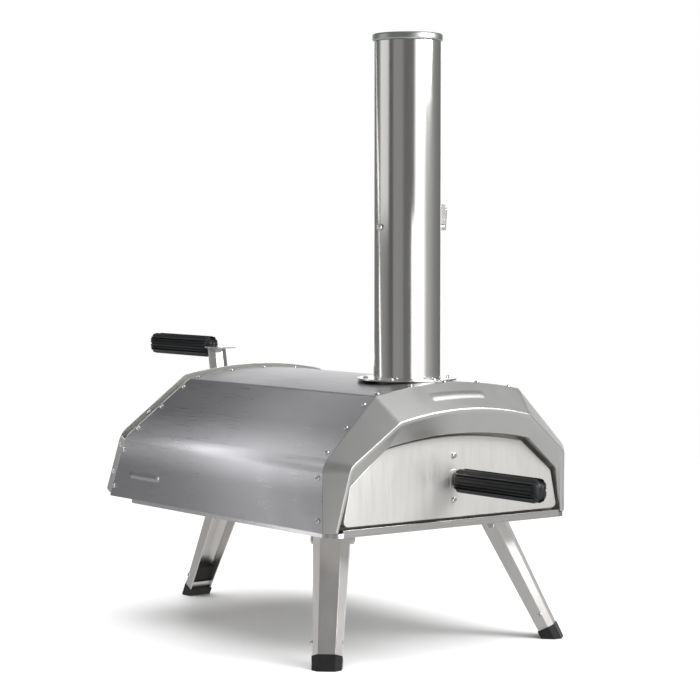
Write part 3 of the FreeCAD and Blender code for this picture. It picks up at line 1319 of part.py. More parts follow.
def hinge_bushes(leg):
    """Spacers between the bracket's ears and the leg's side walls."""
    inner = EAR_HALF + FIT_GAP
    outer = leg.half_width(0) - LEG_SHEET - MOVING_GAP
    bushes = []
    for start, end in ((-outer, -inner), (inner, outer)):
        bush = leg.bolt(HINGE_RADIUS * 1.6, start, end)
        bushes.append(bush.cut(leg.bolt(HINGE_RADIUS + PIN_CLEARANCE, -OVERRUN, OVERRUN)))
    return bushes


LEGS = [
    Leg("front_left", -FRONT_FOOT[0], FRONT_FOOT[1], -FRONT_SPLAY_DEGREES,
        FRONT_TILT_DEGREES, TRAY_BOTTOM),
    Leg("front_right", FRONT_FOOT[0], FRONT_FOOT[1], FRONT_SPLAY_DEGREES,
        FRONT_TILT_DEGREES, TRAY_BOTTOM),
    Leg("rear", 0.0, REAR_FOOT_Y, REAR_HEADING, REAR_TILT_DEGREES, SHELL_BOTTOM),
]


# ---- write every piece -----------------------------------------------------------------

save("outer_shell", outer_shell())
save("inner_liner", inner_liner())
save("insulation", insulation())
save("mouth_plate", mouth_plate())
save("front_fascia", front_fascia())
save("floor_plate", floor_plate())
save("base_tray", base_tray())
save("tray_screws", tray_screws())
save("stone_rails", stone_rails())
save("baking_stone", baking_stone())
save("ember_guard", ember_guard())
save("shell_front_screws", Part.makeCompound([screw(*place) for place in FRONT_PLACES]))
save("shell_rear_screws", Part.makeCompound([screw(*place) for place in REAR_PLACES]))

save("door_plate", door_plate())
save("door_plug", door_plug())
save("door_bracket", door_bracket())
save("door_grip", door_grip())
save("door_grip_screws", grip_screws(DOOR_GRIP_Y, -1, DOOR_HANDLE_Z))
save("door_screws", door_screws())

save("chimney_collar", chimney_collar())
save("collar_screws", collar_screws())
save("chimney_tube", chimney_tube())
save("chimney_cap", chimney_cap())
save("damper_plate", damper_plate())
save("damper_screws", damper_screws())
save("damper_axle", damper_axle())
save("damper_lever", damper_lever())

save("rear_fascia", rear_fascia())
save("rear_fascia_screws", Part.makeCompound([screw(*place) for place in PAN_PLACES]))
save("rear_liner", rear_liner())
save("fuel_box", fuel_box())
save("fuel_box_screws", fuel_box_screws())
save("fuel_tray", fuel_tray())
save("fuel_grate", fuel_grate())
save("hatch_plate", hatch_plate())
save("hatch_plug", hatch_plug())
save("hatch_bracket", hatch_bracket())
save("hatch_screws", hatch_screws())
save("hatch_grip", hatch_grip())
save("hatch_grip_screws", grip_screws(HATCH_GRIP_Y, 1, HATCH_GRIP_Z))

for leg in LEGS:
    save(leg.name + "_leg", leg_channel(leg))
    save(leg.name + "_foot", leg_foot(leg))
    save(leg.name + "_leg_strap", leg_strap(leg))
    save(leg.name + "_foot_screws", foot_screws(leg))
    save(leg.name + "_leg_bracket", leg_bracket(leg))
    save(leg.name + "_hinge_bolt", hinge_bolt(leg))
save("hinge_bushes", Part.makeCompound([bush for leg in LEGS for bush in hinge_bushes(leg)]))
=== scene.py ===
"""Finishes, grips, fasteners and studio for a portable wood fired pizza oven."""

import math

import bmesh
import bpy
from bpy.props import FloatProperty, FloatVectorProperty, IntProperty, PointerProperty
from mathutils import Matrix, Vector
from mathutils.bvhtree import BVHTree


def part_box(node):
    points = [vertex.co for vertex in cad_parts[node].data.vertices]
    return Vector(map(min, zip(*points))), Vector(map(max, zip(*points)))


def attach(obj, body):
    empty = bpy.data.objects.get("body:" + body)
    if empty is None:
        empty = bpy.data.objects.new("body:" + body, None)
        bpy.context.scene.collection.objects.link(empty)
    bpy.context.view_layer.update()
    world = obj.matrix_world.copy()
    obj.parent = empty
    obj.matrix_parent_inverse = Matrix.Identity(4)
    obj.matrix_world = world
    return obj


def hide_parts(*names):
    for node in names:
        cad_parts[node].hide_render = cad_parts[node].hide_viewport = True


bl_info = {
    "name": "Wood Fired Pizza Oven",
    "version": (1, 0, 0),
    "blender": (4, 5, 0),
    "location": "3D View > Sidebar > Pizza Oven",
    "description": "Finishes a portable pizza oven and sets it on a studio floor",
    "category": "Object",
}

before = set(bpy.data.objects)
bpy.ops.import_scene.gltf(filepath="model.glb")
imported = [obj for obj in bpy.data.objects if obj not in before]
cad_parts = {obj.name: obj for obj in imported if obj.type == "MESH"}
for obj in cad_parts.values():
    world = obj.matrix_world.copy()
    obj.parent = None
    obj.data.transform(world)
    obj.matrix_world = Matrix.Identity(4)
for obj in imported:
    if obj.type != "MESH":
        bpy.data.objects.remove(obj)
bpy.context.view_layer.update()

# Which screws and legs ride on which body.
LEGS = ("front_left", "front_right", "rear")
SCREWS = {
    "oven": ("shell_front_screws", "shell_rear_screws", "rear_fascia_screws", "tray_screws",
             "collar_screws", "fuel_box_screws"),
    "door": ("door_screws", "door_grip_screws"),
    "damper": ("damper_screws",),
    "hatch": ("hatch_screws", "hatch_grip_screws"),
}

# Shell: a painted highlight lies along the bend above its flat side, weaker with distance,
# metres.
SIDE_HEIGHT = 0.085
BEND_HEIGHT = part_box("outer_shell")[0].z + SIDE_HEIGHT
PAINTED_HIGHLIGHT_REACH = 0.044
PAINTED_HIGHLIGHT_GAIN = 2.0

# Pressed beads: place, half length and the crown's arc, metres.
CROWN_BEAD_DROP = 0.0145
CROWN_BEAD_HALF = 0.040
CROWN_ARC_RADIUS = 0.567
SIDE_BEAD_FROM_REAR = 0.092
SIDE_BEAD_RISE = 0.034
SIDE_BEAD_HALF = 0.034
BEAD_THICKNESS = 0.0004
BEAD_SINK = 0.00004
BEAD_RAY_START = 0.05

# Button heads, as shares of the head's and socket's sizes.
SHANK_SHARE = 0.45
SHANK_DEPTH = 0.7
SOCKET_FLOOR = 0.35
SOCKET_LIP = 0.94
SOCKET_FLARE = 1.18
HEAD_EDGE = 0.12
HEAD_STEPS = 5
HEAD_COVER = 1.04
HEAD_TWIST = 0.7

# Distances under which two corners are one, and a corner lies on a plane, metres.
MERGED = 0.000001
ON_PLANE = 0.00001

# Camera: its place in metres, and its turn and dip in degrees.
VIEW_PLACE = (-1.8103, -2.4643, 0.5403)
VIEW_TURN = 36.9
VIEW_DIP = 3.0

# Studio: floor's radius in metres, overhead light's spread in degrees, light from all
# round by degrees right of the view's direction, by height, and from below.
FLOOR_RADIUS = 2.4
OVERHEAD_SPREAD = 65
BANDS = [
    (-180, 0.70), (-160, 0.70), (-150, 0.10), (-118, 0.08), (-108, 0.16), (-92, 0.14),
    (-80, 0.12), (-59, 0.05), (-54, 0.05), (-48, 0.14), (-18, 0.13), (-12, 0.07), (21, 0.07),
    (28, 0.72), (54, 0.72), (66, 0.24), (104, 0.12), (150, 0.08), (160, 0.70), (180, 0.70)]
DOME = [(0.0, 0.20), (0.35, 0.08), (0.65, 0.09), (0.85, 0.16), (1.0, 0.22)]
UNDER = 0.30

# Softboxes: place, aim, width and length in metres, and power in watts.
SOFTBOXES = {
    "Shoulder strip": ((-0.372, 0.27, 0.37), (-0.20, 0.27, 0.262), (0.09, 1.7), 1.0),
    "Left softbox": ((-0.85, 0.35, 0.95), (0.0, -0.18, 0.75), (0.7, 0.8), 0.9),
    "Key softbox": ((0.60, -1.20, 1.15), (0.0, -0.25, 0.33), (0.9, 0.7), 22.0),
    "Door softbox": ((-0.14, -0.78, 0.26), (-0.19, -0.27, 0.22), (0.26, 0.6), 0.85),
}


# ---- sizes and colours a user may change ------------------------------------------------

def colour(name, description, default):
    """A colour in scene-linear red, green and blue."""
    return FloatVectorProperty(
        name=name, description=description, default=default,
        subtype="COLOR", size=3, min=0.0, max=1.0)


def length(name, description, default):
    """A length in metres."""
    return FloatProperty(
        name=name, description=description, default=default,
        min=0.0, unit="LENGTH", subtype="DISTANCE", precision=5)


def share(name, description, default, top=1.0):
    """A plain number from nothing to top."""
    return FloatProperty(
        name=name, description=description, default=default,
        min=0.0, max=top, subtype="FACTOR")


class OvenColours(bpy.types.PropertyGroup):
    """Colours of the finishes."""

    shell: colour("Shell", "Brushed sheet of the arched shell", (0.42, 0.42, 0.437))
    fascia: colour("Fascias", "Bead blasted pressings at both ends", (0.66, 0.66, 0.65))
    door: colour("Door", "Fine brushed front of the door", (0.74, 0.73, 0.71))
    tray: colour("Base tray", "Bright folded tray", (0.72, 0.71, 0.70))
    tube: colour("Chimney tube", "Bright tube brushed along its height", (0.80, 0.79, 0.77))
    cap: colour("Chimney cap", "Satin cap", (0.46, 0.47, 0.47))
    leg: colour("Legs", "Bright folded legs", (0.80, 0.78, 0.76))
    liner: colour("Liner", "Mill finish steel inside", (0.42, 0.41, 0.40))
    straw: colour("Heat straw", "Straw tint that heat leaves", (0.46, 0.33, 0.18))
    soot: colour("Soot", "Smoke film inside", (0.035, 0.032, 0.030))
    fastener: colour("Fasteners", "Bright plated screws and bolts", (0.70, 0.70, 0.71))
    grip: colour("Grips", "Moulded black grips", (0.012, 0.013, 0.014))
    foot: colour("Feet", "Black moulded feet", (0.012, 0.012, 0.012))
    stone: colour("Baking stone", "Cordierite stone", (0.62, 0.53, 0.41))
    fibre: colour("Insulation", "Ceramic fibre blanket", (0.84, 0.83, 0.79))


class OvenSizes(bpy.types.PropertyGroup):
    """Sizes of the pieces that are modelled here."""

    edge_radius: length("Edge radius", "Rounding seen on cut sheet edges", 0.0006)
    grip_bevel: length("Grip bevel", "Width of the bevel along a grip", 0.0062)
    grip_end: length("Grip end", "Rounding at the ends of a grip", 0.0085)
    grip_groove: length("Grip groove", "Depth of the moulding line round a grip", 0.00035)
    screw_radius: length("Screw head radius", "Radius of a button head", 0.0036)
    screw_height: length("Screw head height", "Height of a button head", 0.0023)
    socket_radius: length("Screw socket", "Radius of the six sided socket", 0.0014)
    bead_height: length("Bead height", "How far a pressed bead stands proud", 0.0011)
    bead_width: length("Bead width", "Half width of a pressed bead", 0.0055)
    seam_width: length("Tube seam", "Width of the tube's welded seam", 0.0022)
    round_steps: IntProperty(
        name="Round steps", description="Faces round a screw head", default=24, min=12, max=96)


class OvenStudio(bpy.types.PropertyGroup):
    """Floor, light and camera."""

    floor: colour("Floor", "Pale floor", (0.90, 0.90, 0.90))
    backdrop: colour("Backdrop", "Colour behind the oven", (1.0, 1.0, 1.0))
    surround: share("Surround", "Strength of the light from all round", 1.0, 4.0)
    overhead: FloatProperty(
        name="Overhead light", description="Strength of the wide light from above",
        default=2.9, min=0.0)
    softboxes: share("Softboxes", "Strength of the softboxes together", 1.0, 4.0)
    lens: FloatProperty(
        name="Lens", description="Focal length of the camera",
        default=114.8, min=1.0, unit="CAMERA")


# ---- node helpers -----------------------------------------------------------------------

class Sheet:
    """A node tree being filled in, one column to the right at a time."""

    def __init__(self, tree):
        self.tree = tree
        self.column = 0

    def add(self, kind, settings=None, **values):
        """Adds a node; values are numbers, or sockets to link, by socket name."""
        node = self.tree.nodes.new(kind)
        self.column += 1
        node.location = (self.column * 190, -40 * (self.column % 5))
        for name, setting in (settings or {}).items():
            setattr(node, name, setting)
        for name, value in values.items():
            self.feed(node.inputs[name.replace("_", " ")], value)
        return node

    def feed(self, socket, value):
        """Links a socket to another, or sets its own value."""
        if isinstance(value, bpy.types.NodeSocket):
            self.tree.links.new(value, socket)
        else:
            socket.default_value = value

    def sums(self, operation, first, second=0.0, third=0.0):
        """A Math node's value."""
        node = self.add("ShaderNodeMath", {"operation": operation})
        for socket, value in zip(node.inputs, (first, second, third)):
            self.feed(socket, value)
        return node.outputs[0]

    def spread(self, value, low, high, to_low=0.0, to_high=1.0):
        """A value's range stretched to another, with soft ends."""
        node = self.add("ShaderNodeMapRange", {"interpolation_type": "SMOOTHSTEP"})
        for name, number in (("Value", value), ("From Min", low), ("From Max", high),
                             ("To Min", to_low), ("To Max", to_high)):
            self.feed(node.inputs[name], number)
        return node.outputs["Result"]

    def stretched(self, coordinates, scale):
        """Coordinates multiplied by a scale in each direction."""
        node = self.add("ShaderNodeVectorMath", {"operation": "MULTIPLY"})
        self.feed(node.inputs[0], coordinates)
        self.feed(node.inputs[1], scale)
        return node.outputs[0]

    def noise(self, coordinates, scale=1.0, detail=2.0, rough=0.5):
        """A Noise Texture's value."""
        node = self.add("ShaderNodeTexNoise", Vector=coordinates, Scale=scale,
                        Detail=detail, Roughness=rough)
        return node.outputs["Fac"]

    def blended(self, share_of_second, first, second, mode="MIX"):
        """Two colours mixed."""
        node = self.add("ShaderNodeMix", {"data_type": "RGBA", "blend_type": mode})
        self.feed(node.inputs[0], share_of_second)
        self.feed(node.inputs[6], first)
        self.feed(node.inputs[7], second)
        return node.outputs[2]


def solid(rgb, factor=1.0):
    """A colour with its alpha, made darker or lighter."""
    return tuple(min(part * factor, 1.0) for part in rgb) + (1.0,)


def effect(name, inputs, outputs):
    """A new shader node group and its sheet, with named sockets."""
    tree = bpy.data.node_groups.new(name, "ShaderNodeTree")
    for label, kind, default in inputs:
        socket = tree.interface.new_socket(name=label, in_out="INPUT", socket_type=kind)
        if default is not None:
            socket.default_value = default
    for label, kind in outputs:
        tree.interface.new_socket(name=label, in_out="OUTPUT", socket_type=kind)
    sheet = Sheet(tree)
    entry = sheet.add("NodeGroupInput")
    leave = tree.nodes.new("NodeGroupOutput")
    leave.location = (2600, 0)
    return sheet, entry.outputs, leave.inputs


VECTOR = "NodeSocketVector"
NUMBER = "NodeSocketFloat"
COLOUR = "NodeSocketColor"


def brushed_grain():
    """Lines that a belt leaves, fine ones and broad ones, long in one direction."""
    sheet, given, made = effect(
        "Brushed Grain",
        [("Coordinates", VECTOR, None), ("Lay", VECTOR, (1.0, 1.0, 1.0)), ("Depth", NUMBER, 1.0)],
        [("Lines", NUMBER), ("Bands", NUMBER), ("Height", NUMBER)])
    laid = sheet.stretched(given["Coordinates"], given["Lay"])
    lines = sheet.noise(laid, 900.0, 3.0, 0.7)
    scratches = sheet.noise(laid, 380.0, 1.0, 0.5)
    bands = sheet.noise(laid, 60.0, 2.0, 0.5)
    deep = sheet.spread(scratches, 0.62, 0.75)
    height = sheet.sums("MULTIPLY_ADD", deep, -0.6, lines)
    sheet.feed(made["Lines"], lines)
    sheet.feed(made["Bands"], bands)
    sheet.feed(made["Height"], sheet.sums("MULTIPLY", height, given["Depth"]))


def handling_marks():
    """Faint wipes, smears and finger marks left on bright metal."""
    sheet, given, made = effect(
        "Handling Marks",
        [("Coordinates", VECTOR, None), ("Amount", NUMBER, 0.5)],
        [("Mask", NUMBER)])
    wide = sheet.spread(sheet.noise(given["Coordinates"], 9.0, 3.0, 0.6), 0.45, 0.75)
    wiped = sheet.stretched(given["Coordinates"], (40.0, 14.0, 22.0))
    smears = sheet.spread(sheet.noise(wiped, 1.0, 2.0, 0.5), 0.5, 0.8)
    joined = sheet.sums("MAXIMUM", wide, smears)
    sheet.feed(made["Mask"], sheet.sums("MULTIPLY", joined, given["Amount"]))


def painted_edge_highlights():
    """Where a sheet's edge catches the light, from a rounded normal set against the true one; its
    mask paints edge highlights into the colour.
    """
    sheet, given, made = effect(
        "Painted Edge Highlights",
        [("Coordinates", VECTOR, None), ("Radius", NUMBER, 0.0008), ("Breakup", NUMBER, 0.4)],
        [("Mask", NUMBER), ("Normal", VECTOR)])
    rounded = sheet.add("ShaderNodeBevel", {"samples": 4})
    sheet.feed(rounded.inputs["Radius"], given["Radius"])
    true = sheet.add("ShaderNodeNewGeometry")
    facing = sheet.add("ShaderNodeVectorMath", {"operation": "DOT_PRODUCT"})
    sheet.feed(facing.inputs[0], rounded.outputs["Normal"])
    sheet.feed(facing.inputs[1], true.outputs["Normal"])
    edge = sheet.spread(facing.outputs["Value"], 0.995, 0.80)
    broken = sheet.noise(given["Coordinates"], 160.0, 3.0, 0.6)
    kept = sheet.sums("SUBTRACT", 1.0, sheet.sums("MULTIPLY", broken, given["Breakup"]))
    sheet.feed(made["Mask"], sheet.sums("MULTIPLY", edge, kept))
    sheet.feed(made["Normal"], rounded.outputs["Normal"])


def blast_texture():
    """Even fine dimples that glass beads leave."""
    sheet, given, made = effect(
        "Blast Texture",
        [("Coordinates", VECTOR, None)],
        [("Height", NUMBER), ("Tone", NUMBER)])
    fine = sheet.noise(given["Coordinates"], 1500.0, 2.0, 0.6)
    broad = sheet.noise(given["Coordinates"], 35.0, 3.0, 0.5)
    sheet.feed(made["Height"], fine)
    sheet.feed(made["Tone"], broad)


def heat_stain():
    """Straw colour and soot that creep over steel near the fire."""
    sheet, given, made = effect(
        "Heat Stain",
        [("Coordinates", VECTOR, None), ("Steel", COLOUR, None), ("Straw", COLOUR, None),
         ("Soot", COLOUR, None), ("Amount", NUMBER, 0.5)],
        [("Color", COLOUR), ("Roughness", NUMBER)])
    wide = sheet.noise(given["Coordinates"], 7.0, 4.0, 0.6)
    close = sheet.noise(given["Coordinates"], 45.0, 4.0, 0.65)
    tint = sheet.sums("MULTIPLY", sheet.spread(wide, 0.35, 0.7), given["Amount"])
    smoke = sheet.spread(sheet.sums("ADD", sheet.sums("MULTIPLY", wide, 0.6),
                                    sheet.sums("MULTIPLY", close, 0.4)), 0.48, 0.68)
    film = sheet.sums("MULTIPLY", smoke, given["Amount"])
    warmed = sheet.blended(tint, given["Steel"], given["Straw"])
    sheet.feed(made["Color"], sheet.blended(film, warmed, given["Soot"]))
    sheet.feed(made["Roughness"], sheet.sums("MULTIPLY_ADD", film, 0.4, 0.34))


def moulded_texture():
    """Spark eroded grain of a moulding tool, with lighter scuffs."""
    sheet, given, made = effect(
        "Moulded Texture",
        [("Coordinates", VECTOR, None), ("Base", COLOUR, None)],
        [("Color", COLOUR), ("Height", NUMBER), ("Roughness", NUMBER)])
    pits = sheet.add("ShaderNodeTexVoronoi", {"feature": "SMOOTH_F1"}, Scale=1100.0)
    sheet.feed(pits.inputs["Vector"], given["Coordinates"])
    grain = sheet.noise(given["Coordinates"], 1900.0, 2.0, 0.5)
    scuffs = sheet.spread(sheet.noise(given["Coordinates"], 55.0, 4.0, 0.7), 0.55, 0.8)
    lighter = sheet.blended(1.0, given["Base"], (0.018, 0.018, 0.018, 1.0), "ADD")
    sheet.feed(made["Color"], sheet.blended(scuffs, given["Base"], lighter))
    sheet.feed(made["Height"], sheet.sums("ADD", pits.outputs["Distance"], grain))
    sheet.feed(made["Roughness"], sheet.sums("MULTIPLY_ADD", scuffs, 0.12, 0.42))


def stone_grain():
    """Pressed cordierite: warm speckle, small dark pits and faint toasted clouds."""
    sheet, given, made = effect(
        "Stone Grain",
        [("Coordinates", VECTOR, None), ("Base", COLOUR, None)],
        [("Color", COLOUR), ("Height", NUMBER)])
    speckle = sheet.noise(given["Coordinates"], 420.0, 4.0, 0.75)
    cloud = sheet.noise(given["Coordinates"], 16.0, 4.0, 0.6)
    pits = sheet.add("ShaderNodeTexVoronoi", Scale=230.0)
    sheet.feed(pits.inputs["Vector"], given["Coordinates"])
    hole = sheet.spread(pits.outputs["Distance"], 0.22, 0.05)
    dark = sheet.blended(sheet.spread(speckle, 0.35, 0.7, 0.5, 0.0), given["Base"],
                         (0.36, 0.27, 0.19, 1.0))
    toasted = sheet.blended(sheet.spread(cloud, 0.5, 0.8, 0.0, 0.45), dark,
                            (0.30, 0.22, 0.15, 1.0))
    sheet.feed(made["Color"], sheet.blended(sheet.sums("MULTIPLY", hole, 0.6), toasted,
                                            (0.16, 0.12, 0.09, 1.0)))
    sheet.feed(made["Height"], sheet.sums("MULTIPLY_ADD", hole, -1.2, speckle))


def fibre_felt():
    """Matted fibres of a ceramic blanket."""
    sheet, given, made = effect(
        "Fibre Felt",
        [("Coordinates", VECTOR, None), ("Base", COLOUR, None)],
        [("Color", COLOUR), ("Height", NUMBER)])
    strands = sheet.noise(sheet.stretched(given["Coordinates"], (160.0, 900.0, 240.0)),
                          1.0, 5.0, 0.7)
    tufts = sheet.noise(given["Coordinates"], 90.0, 4.0, 0.6)
    sheet.feed(made["Color"], sheet.blended(sheet.spread(tufts, 0.3, 0.7, 0.25, 0.0),
                                            given["Base"], (0.62, 0.60, 0.54, 1.0)))
    sheet.feed(made["Height"], sheet.sums("ADD", strands, tufts))


# ---- materials --------------------------------------------------------------------------

def blank_material(name):
    """A material, the sheet of its nodes, its shader and its Object coordinates."""
    material = bpy.data.materials.new(name)
    material.use_nodes = True
    sheet = Sheet(material.node_tree)
    shader = material.node_tree.nodes["Principled BSDF"]
    shader.location = (2600, 0)
    material.node_tree.nodes["Material Output"].location = (2900, 0)
    place = sheet.add("ShaderNodeTexCoord").outputs["Object"]
    return material, sheet, shader, place


def grouped(sheet, name, **values):
    """One of the shared effects placed in a material."""
    node = sheet.add("ShaderNodeGroup", {"node_tree": bpy.data.node_groups[name]}, **values)
    return node.outputs


def bumped(sheet, shader, height, depth, normal=None):
    """Feeds a height to the shader's normal; depth is in metres."""
    bump = sheet.add("ShaderNodeBump", Height=height, Distance=depth, Strength=1.0)
    if normal is not None:
        sheet.feed(bump.inputs["Normal"], normal)
    sheet.feed(shader.inputs["Normal"], bump.outputs["Normal"])


def brushed_steel(name, rgb, lay, rough=0.24, spread=0.10, marks=0.25, contrast=0.06,
                  depth=0.000004, anisotropy=0.0, bend=None):
    """Brushed metal: lines along the short side of lay, faint bands, marks, a painted highlight
    along edges and, given a bend, a painted highlight band at the height of that bend."""
    radius = bpy.context.scene.oven_sizes.edge_radius
    material, sheet, shader, place = blank_material(name)
    grain = grouped(sheet, "Brushed Grain", Coordinates=place, Lay=lay, Depth=1.0)
    touched = grouped(sheet, "Handling Marks", Coordinates=place, Amount=marks)
    edge = grouped(sheet, "Painted Edge Highlights", Coordinates=place, Radius=radius, Breakup=0.4)
    tone = sheet.blended(grain["Bands"], solid(rgb, 1.0 - contrast), solid(rgb, 1.0 + contrast))
    lined = sheet.blended(sheet.spread(grain["Lines"], 0.3, 0.7, 0.0, 0.35), tone,
                          solid(rgb, 1.0 + 2.0 * contrast))
    # Painted highlight: the colour is lightened along edges where they would catch the light.
    painted_light_colour = sheet.blended(sheet.sums("MULTIPLY", edge["Mask"], 0.5), lined, solid(rgb, 1.35))
    # Painted highlight: the colour is lightened in a band round the bend's height, fading out
    # over the reach.
    if bend is not None:
        rise = sheet.add("ShaderNodeSeparateXYZ", Vector=place).outputs["Z"]
        off = sheet.sums("SUBTRACT", rise, bend)
        painted_bend_highlight = sheet.spread(sheet.sums("ABSOLUTE", off), 0.0, PAINTED_HIGHLIGHT_REACH, 1.0, 0.0)
        painted_light_colour = sheet.blended(painted_bend_highlight, painted_light_colour, solid(rgb, PAINTED_HIGHLIGHT_GAIN))
    sheet.feed(shader.inputs["Base Color"], painted_light_colour)
    base = sheet.spread(grain["Lines"], 0.25, 0.75, rough - spread / 2, rough + spread / 2)
    marked = sheet.sums("MULTIPLY_ADD", touched["Mask"], 0.12, base)
    sheet.feed(shader.inputs["Roughness"],
               sheet.sums("MULTIPLY_ADD", edge["Mask"], -0.08, marked))
    shader.inputs["Metallic"].default_value = 1.0
    shader.inputs["Anisotropic"].default_value = anisotropy
    bumped(sheet, shader, grain["Height"], depth, edge["Normal"])
    return material


def blasted_steel(name, rgb, rough=0.42, depth=0.00001):
    """Satin metal with an even fine texture and soft tone changes."""
    radius = bpy.context.scene.oven_sizes.edge_radius
    material, sheet, shader, place = blank_material(name)
    blast = grouped(sheet, "Blast Texture", Coordinates=place)
    touched = grouped(sheet, "Handling Marks", Coordinates=place, Amount=0.35)
    edge = grouped(sheet, "Painted Edge Highlights", Coordinates=place, Radius=radius * 1.5, Breakup=0.5)
    tone = sheet.blended(blast["Tone"], solid(rgb, 0.95), solid(rgb, 1.05))
    # Painted highlight: the colour is lightened along edges where they would catch the light.
    painted_light_colour = sheet.blended(sheet.sums("MULTIPLY", edge["Mask"], 0.45), tone, solid(rgb, 1.3))
    sheet.feed(shader.inputs["Base Color"], painted_light_colour)
    base = sheet.spread(blast["Height"], 0.3, 0.7, rough - 0.04, rough + 0.04)
    sheet.feed(shader.inputs["Roughness"],
               sheet.sums("MULTIPLY_ADD", touched["Mask"], -0.08, base))
    shader.inputs["Metallic"].default_value = 1.0
    bumped(sheet, shader, blast["Height"], depth, edge["Normal"])
    return material


def fired_steel(name, rgb, amount):
    """Mill finish steel that the fire has tinted and smoked."""
    colours = bpy.context.scene.oven_colours
    material, sheet, shader, place = blank_material(name)
    stain = grouped(sheet, "Heat Stain", Coordinates=place, Steel=solid(rgb),
                    Straw=solid(colours.straw), Soot=solid(colours.soot), Amount=amount)
    grain = grouped(sheet, "Brushed Grain", Coordinates=place, Lay=(1.0, 0.03, 1.0), Depth=1.0)
    sheet.feed(shader.inputs["Base Color"], stain["Color"])
    sheet.feed(shader.inputs["Roughness"], stain["Roughness"])
    shader.inputs["Metallic"].default_value = 1.0
    bumped(sheet, shader, grain["Height"], 0.000006)
    return material


def moulded_plastic(name, rgb, depth):
    """Black moulding with a fine eroded grain."""
    material, sheet, shader, place = blank_material(name)
    texture = grouped(sheet, "Moulded Texture", Coordinates=place, Base=solid(rgb))
    sheet.feed(shader.inputs["Base Color"], texture["Color"])
    sheet.feed(shader.inputs["Roughness"], texture["Roughness"])
    shader.inputs["Specular IOR Level"].default_value = 0.32
    bumped(sheet, shader, texture["Height"], depth)
    return material


def baked_stone(name, rgb):
    """Dry pale stone."""
    material, sheet, shader, place = blank_material(name)
    grain = grouped(sheet, "Stone Grain", Coordinates=place, Base=solid(rgb))
    sheet.feed(shader.inputs["Base Color"], grain["Color"])
    shader.inputs["Roughness"].default_value = 0.88
    bumped(sheet, shader, grain["Height"], 0.0002)
    return material


def blanket(name, rgb):
    """Soft white fibre."""
    material, sheet, shader, place = blank_material(name)
    felt = grouped(sheet, "Fibre Felt", Coordinates=place, Base=solid(rgb))
    sheet.feed(shader.inputs["Base Color"], felt["Color"])
    shader.inputs["Roughness"].default_value = 1.0
    shader.inputs["Sheen Weight"].default_value = 0.3
    bumped(sheet, shader, felt["Height"], 0.0006)
    return material


def dress(material, *nodes):
    """Gives CAD nodes a finish."""
    for name in nodes:
        mesh_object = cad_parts[name]
        for slot in mesh_object.material_slots:
            slot.material = material


# ---- mesh helpers -----------------------------------------------------------------------

def finished(form, name, material, body, sharp_degrees=38.0):
    """Turns a bmesh into a piece of the oven, smooth but for its sharp edges."""
    form.normal_update()
    for face in form.faces:
        face.smooth = True
    for edge in form.edges:
        edge.smooth = edge.calc_face_angle(math.pi) < math.radians(sharp_degrees)
    mesh = bpy.data.meshes.new(name)
    form.to_mesh(mesh)
    form.free()
    piece = bpy.data.objects.new(name, mesh)
    bpy.context.scene.collection.objects.link(piece)
    mesh.materials.append(material)
    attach(piece, body)
    return piece


def middle(node):
    """Centre and size of a CAD node."""
    low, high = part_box(node)
    return (low + high) / 2, high - low


def spun(profile, steps):
    """A closed form turned round Z from (radius, height) points."""
    form = bmesh.new()
    corners = [form.verts.new((radius, 0.0, height)) for radius, height in profile]
    edges = [form.edges.new(pair) for pair in zip(corners, corners[1:])]
    bmesh.ops.spin(form, geom=corners + edges, cent=(0, 0, 0), axis=(0, 0, 1),
                   angle=math.tau, steps=steps, use_merge=True, use_duplicate=False)
    bmesh.ops.remove_doubles(form, verts=form.verts, dist=MERGED)
    bmesh.ops.recalc_face_normals(form, faces=form.faces)
    return form


def islands(form):
    """The separate solids of a bmesh, each as a list of vertices, in the mesh's own order."""
    known = set()
    for first in form.verts:
        if first in known:
            continue
        known.add(first)
        island = [first]
        for vertex in island:
            for edge in vertex.link_edges:
                other = edge.other_vert(vertex)
                if other not in known:
                    known.add(other)
                    island.append(other)
        yield island


def screw_seats(node):
    """Seat of each screw's head in a CAD node: point, outward direction and head radius."""
    form = bmesh.new()
    form.from_mesh(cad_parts[node].data)
    bmesh.ops.remove_doubles(form, verts=form.verts, dist=MERGED)
    seats = []
    for island in islands(form):
        flats = {}
        for face in dict.fromkeys(face for vertex in island for face in vertex.link_faces):
            facing = tuple(round(part, 2) for part in face.normal)
            area, heights = flats.get(facing, (0.0, []))
            heights.append(face.calc_center_median().dot(face.normal))
            flats[facing] = (area + face.calc_area(), heights)
        under = max(flats, key=lambda facing: flats[facing][0])
        outward = -Vector(under).normalized()
        seat_height = -min(flats[under][1])
        centre = sum((vertex.co for vertex in island), Vector()) / len(island)
        seat = centre + outward * (seat_height - centre.dot(outward))
        radius = max(((vertex.co - seat) - outward * (vertex.co - seat).dot(outward)).length
                     for vertex in island)
        seats.append((seat, outward, radius))
    form.free()
    return seats


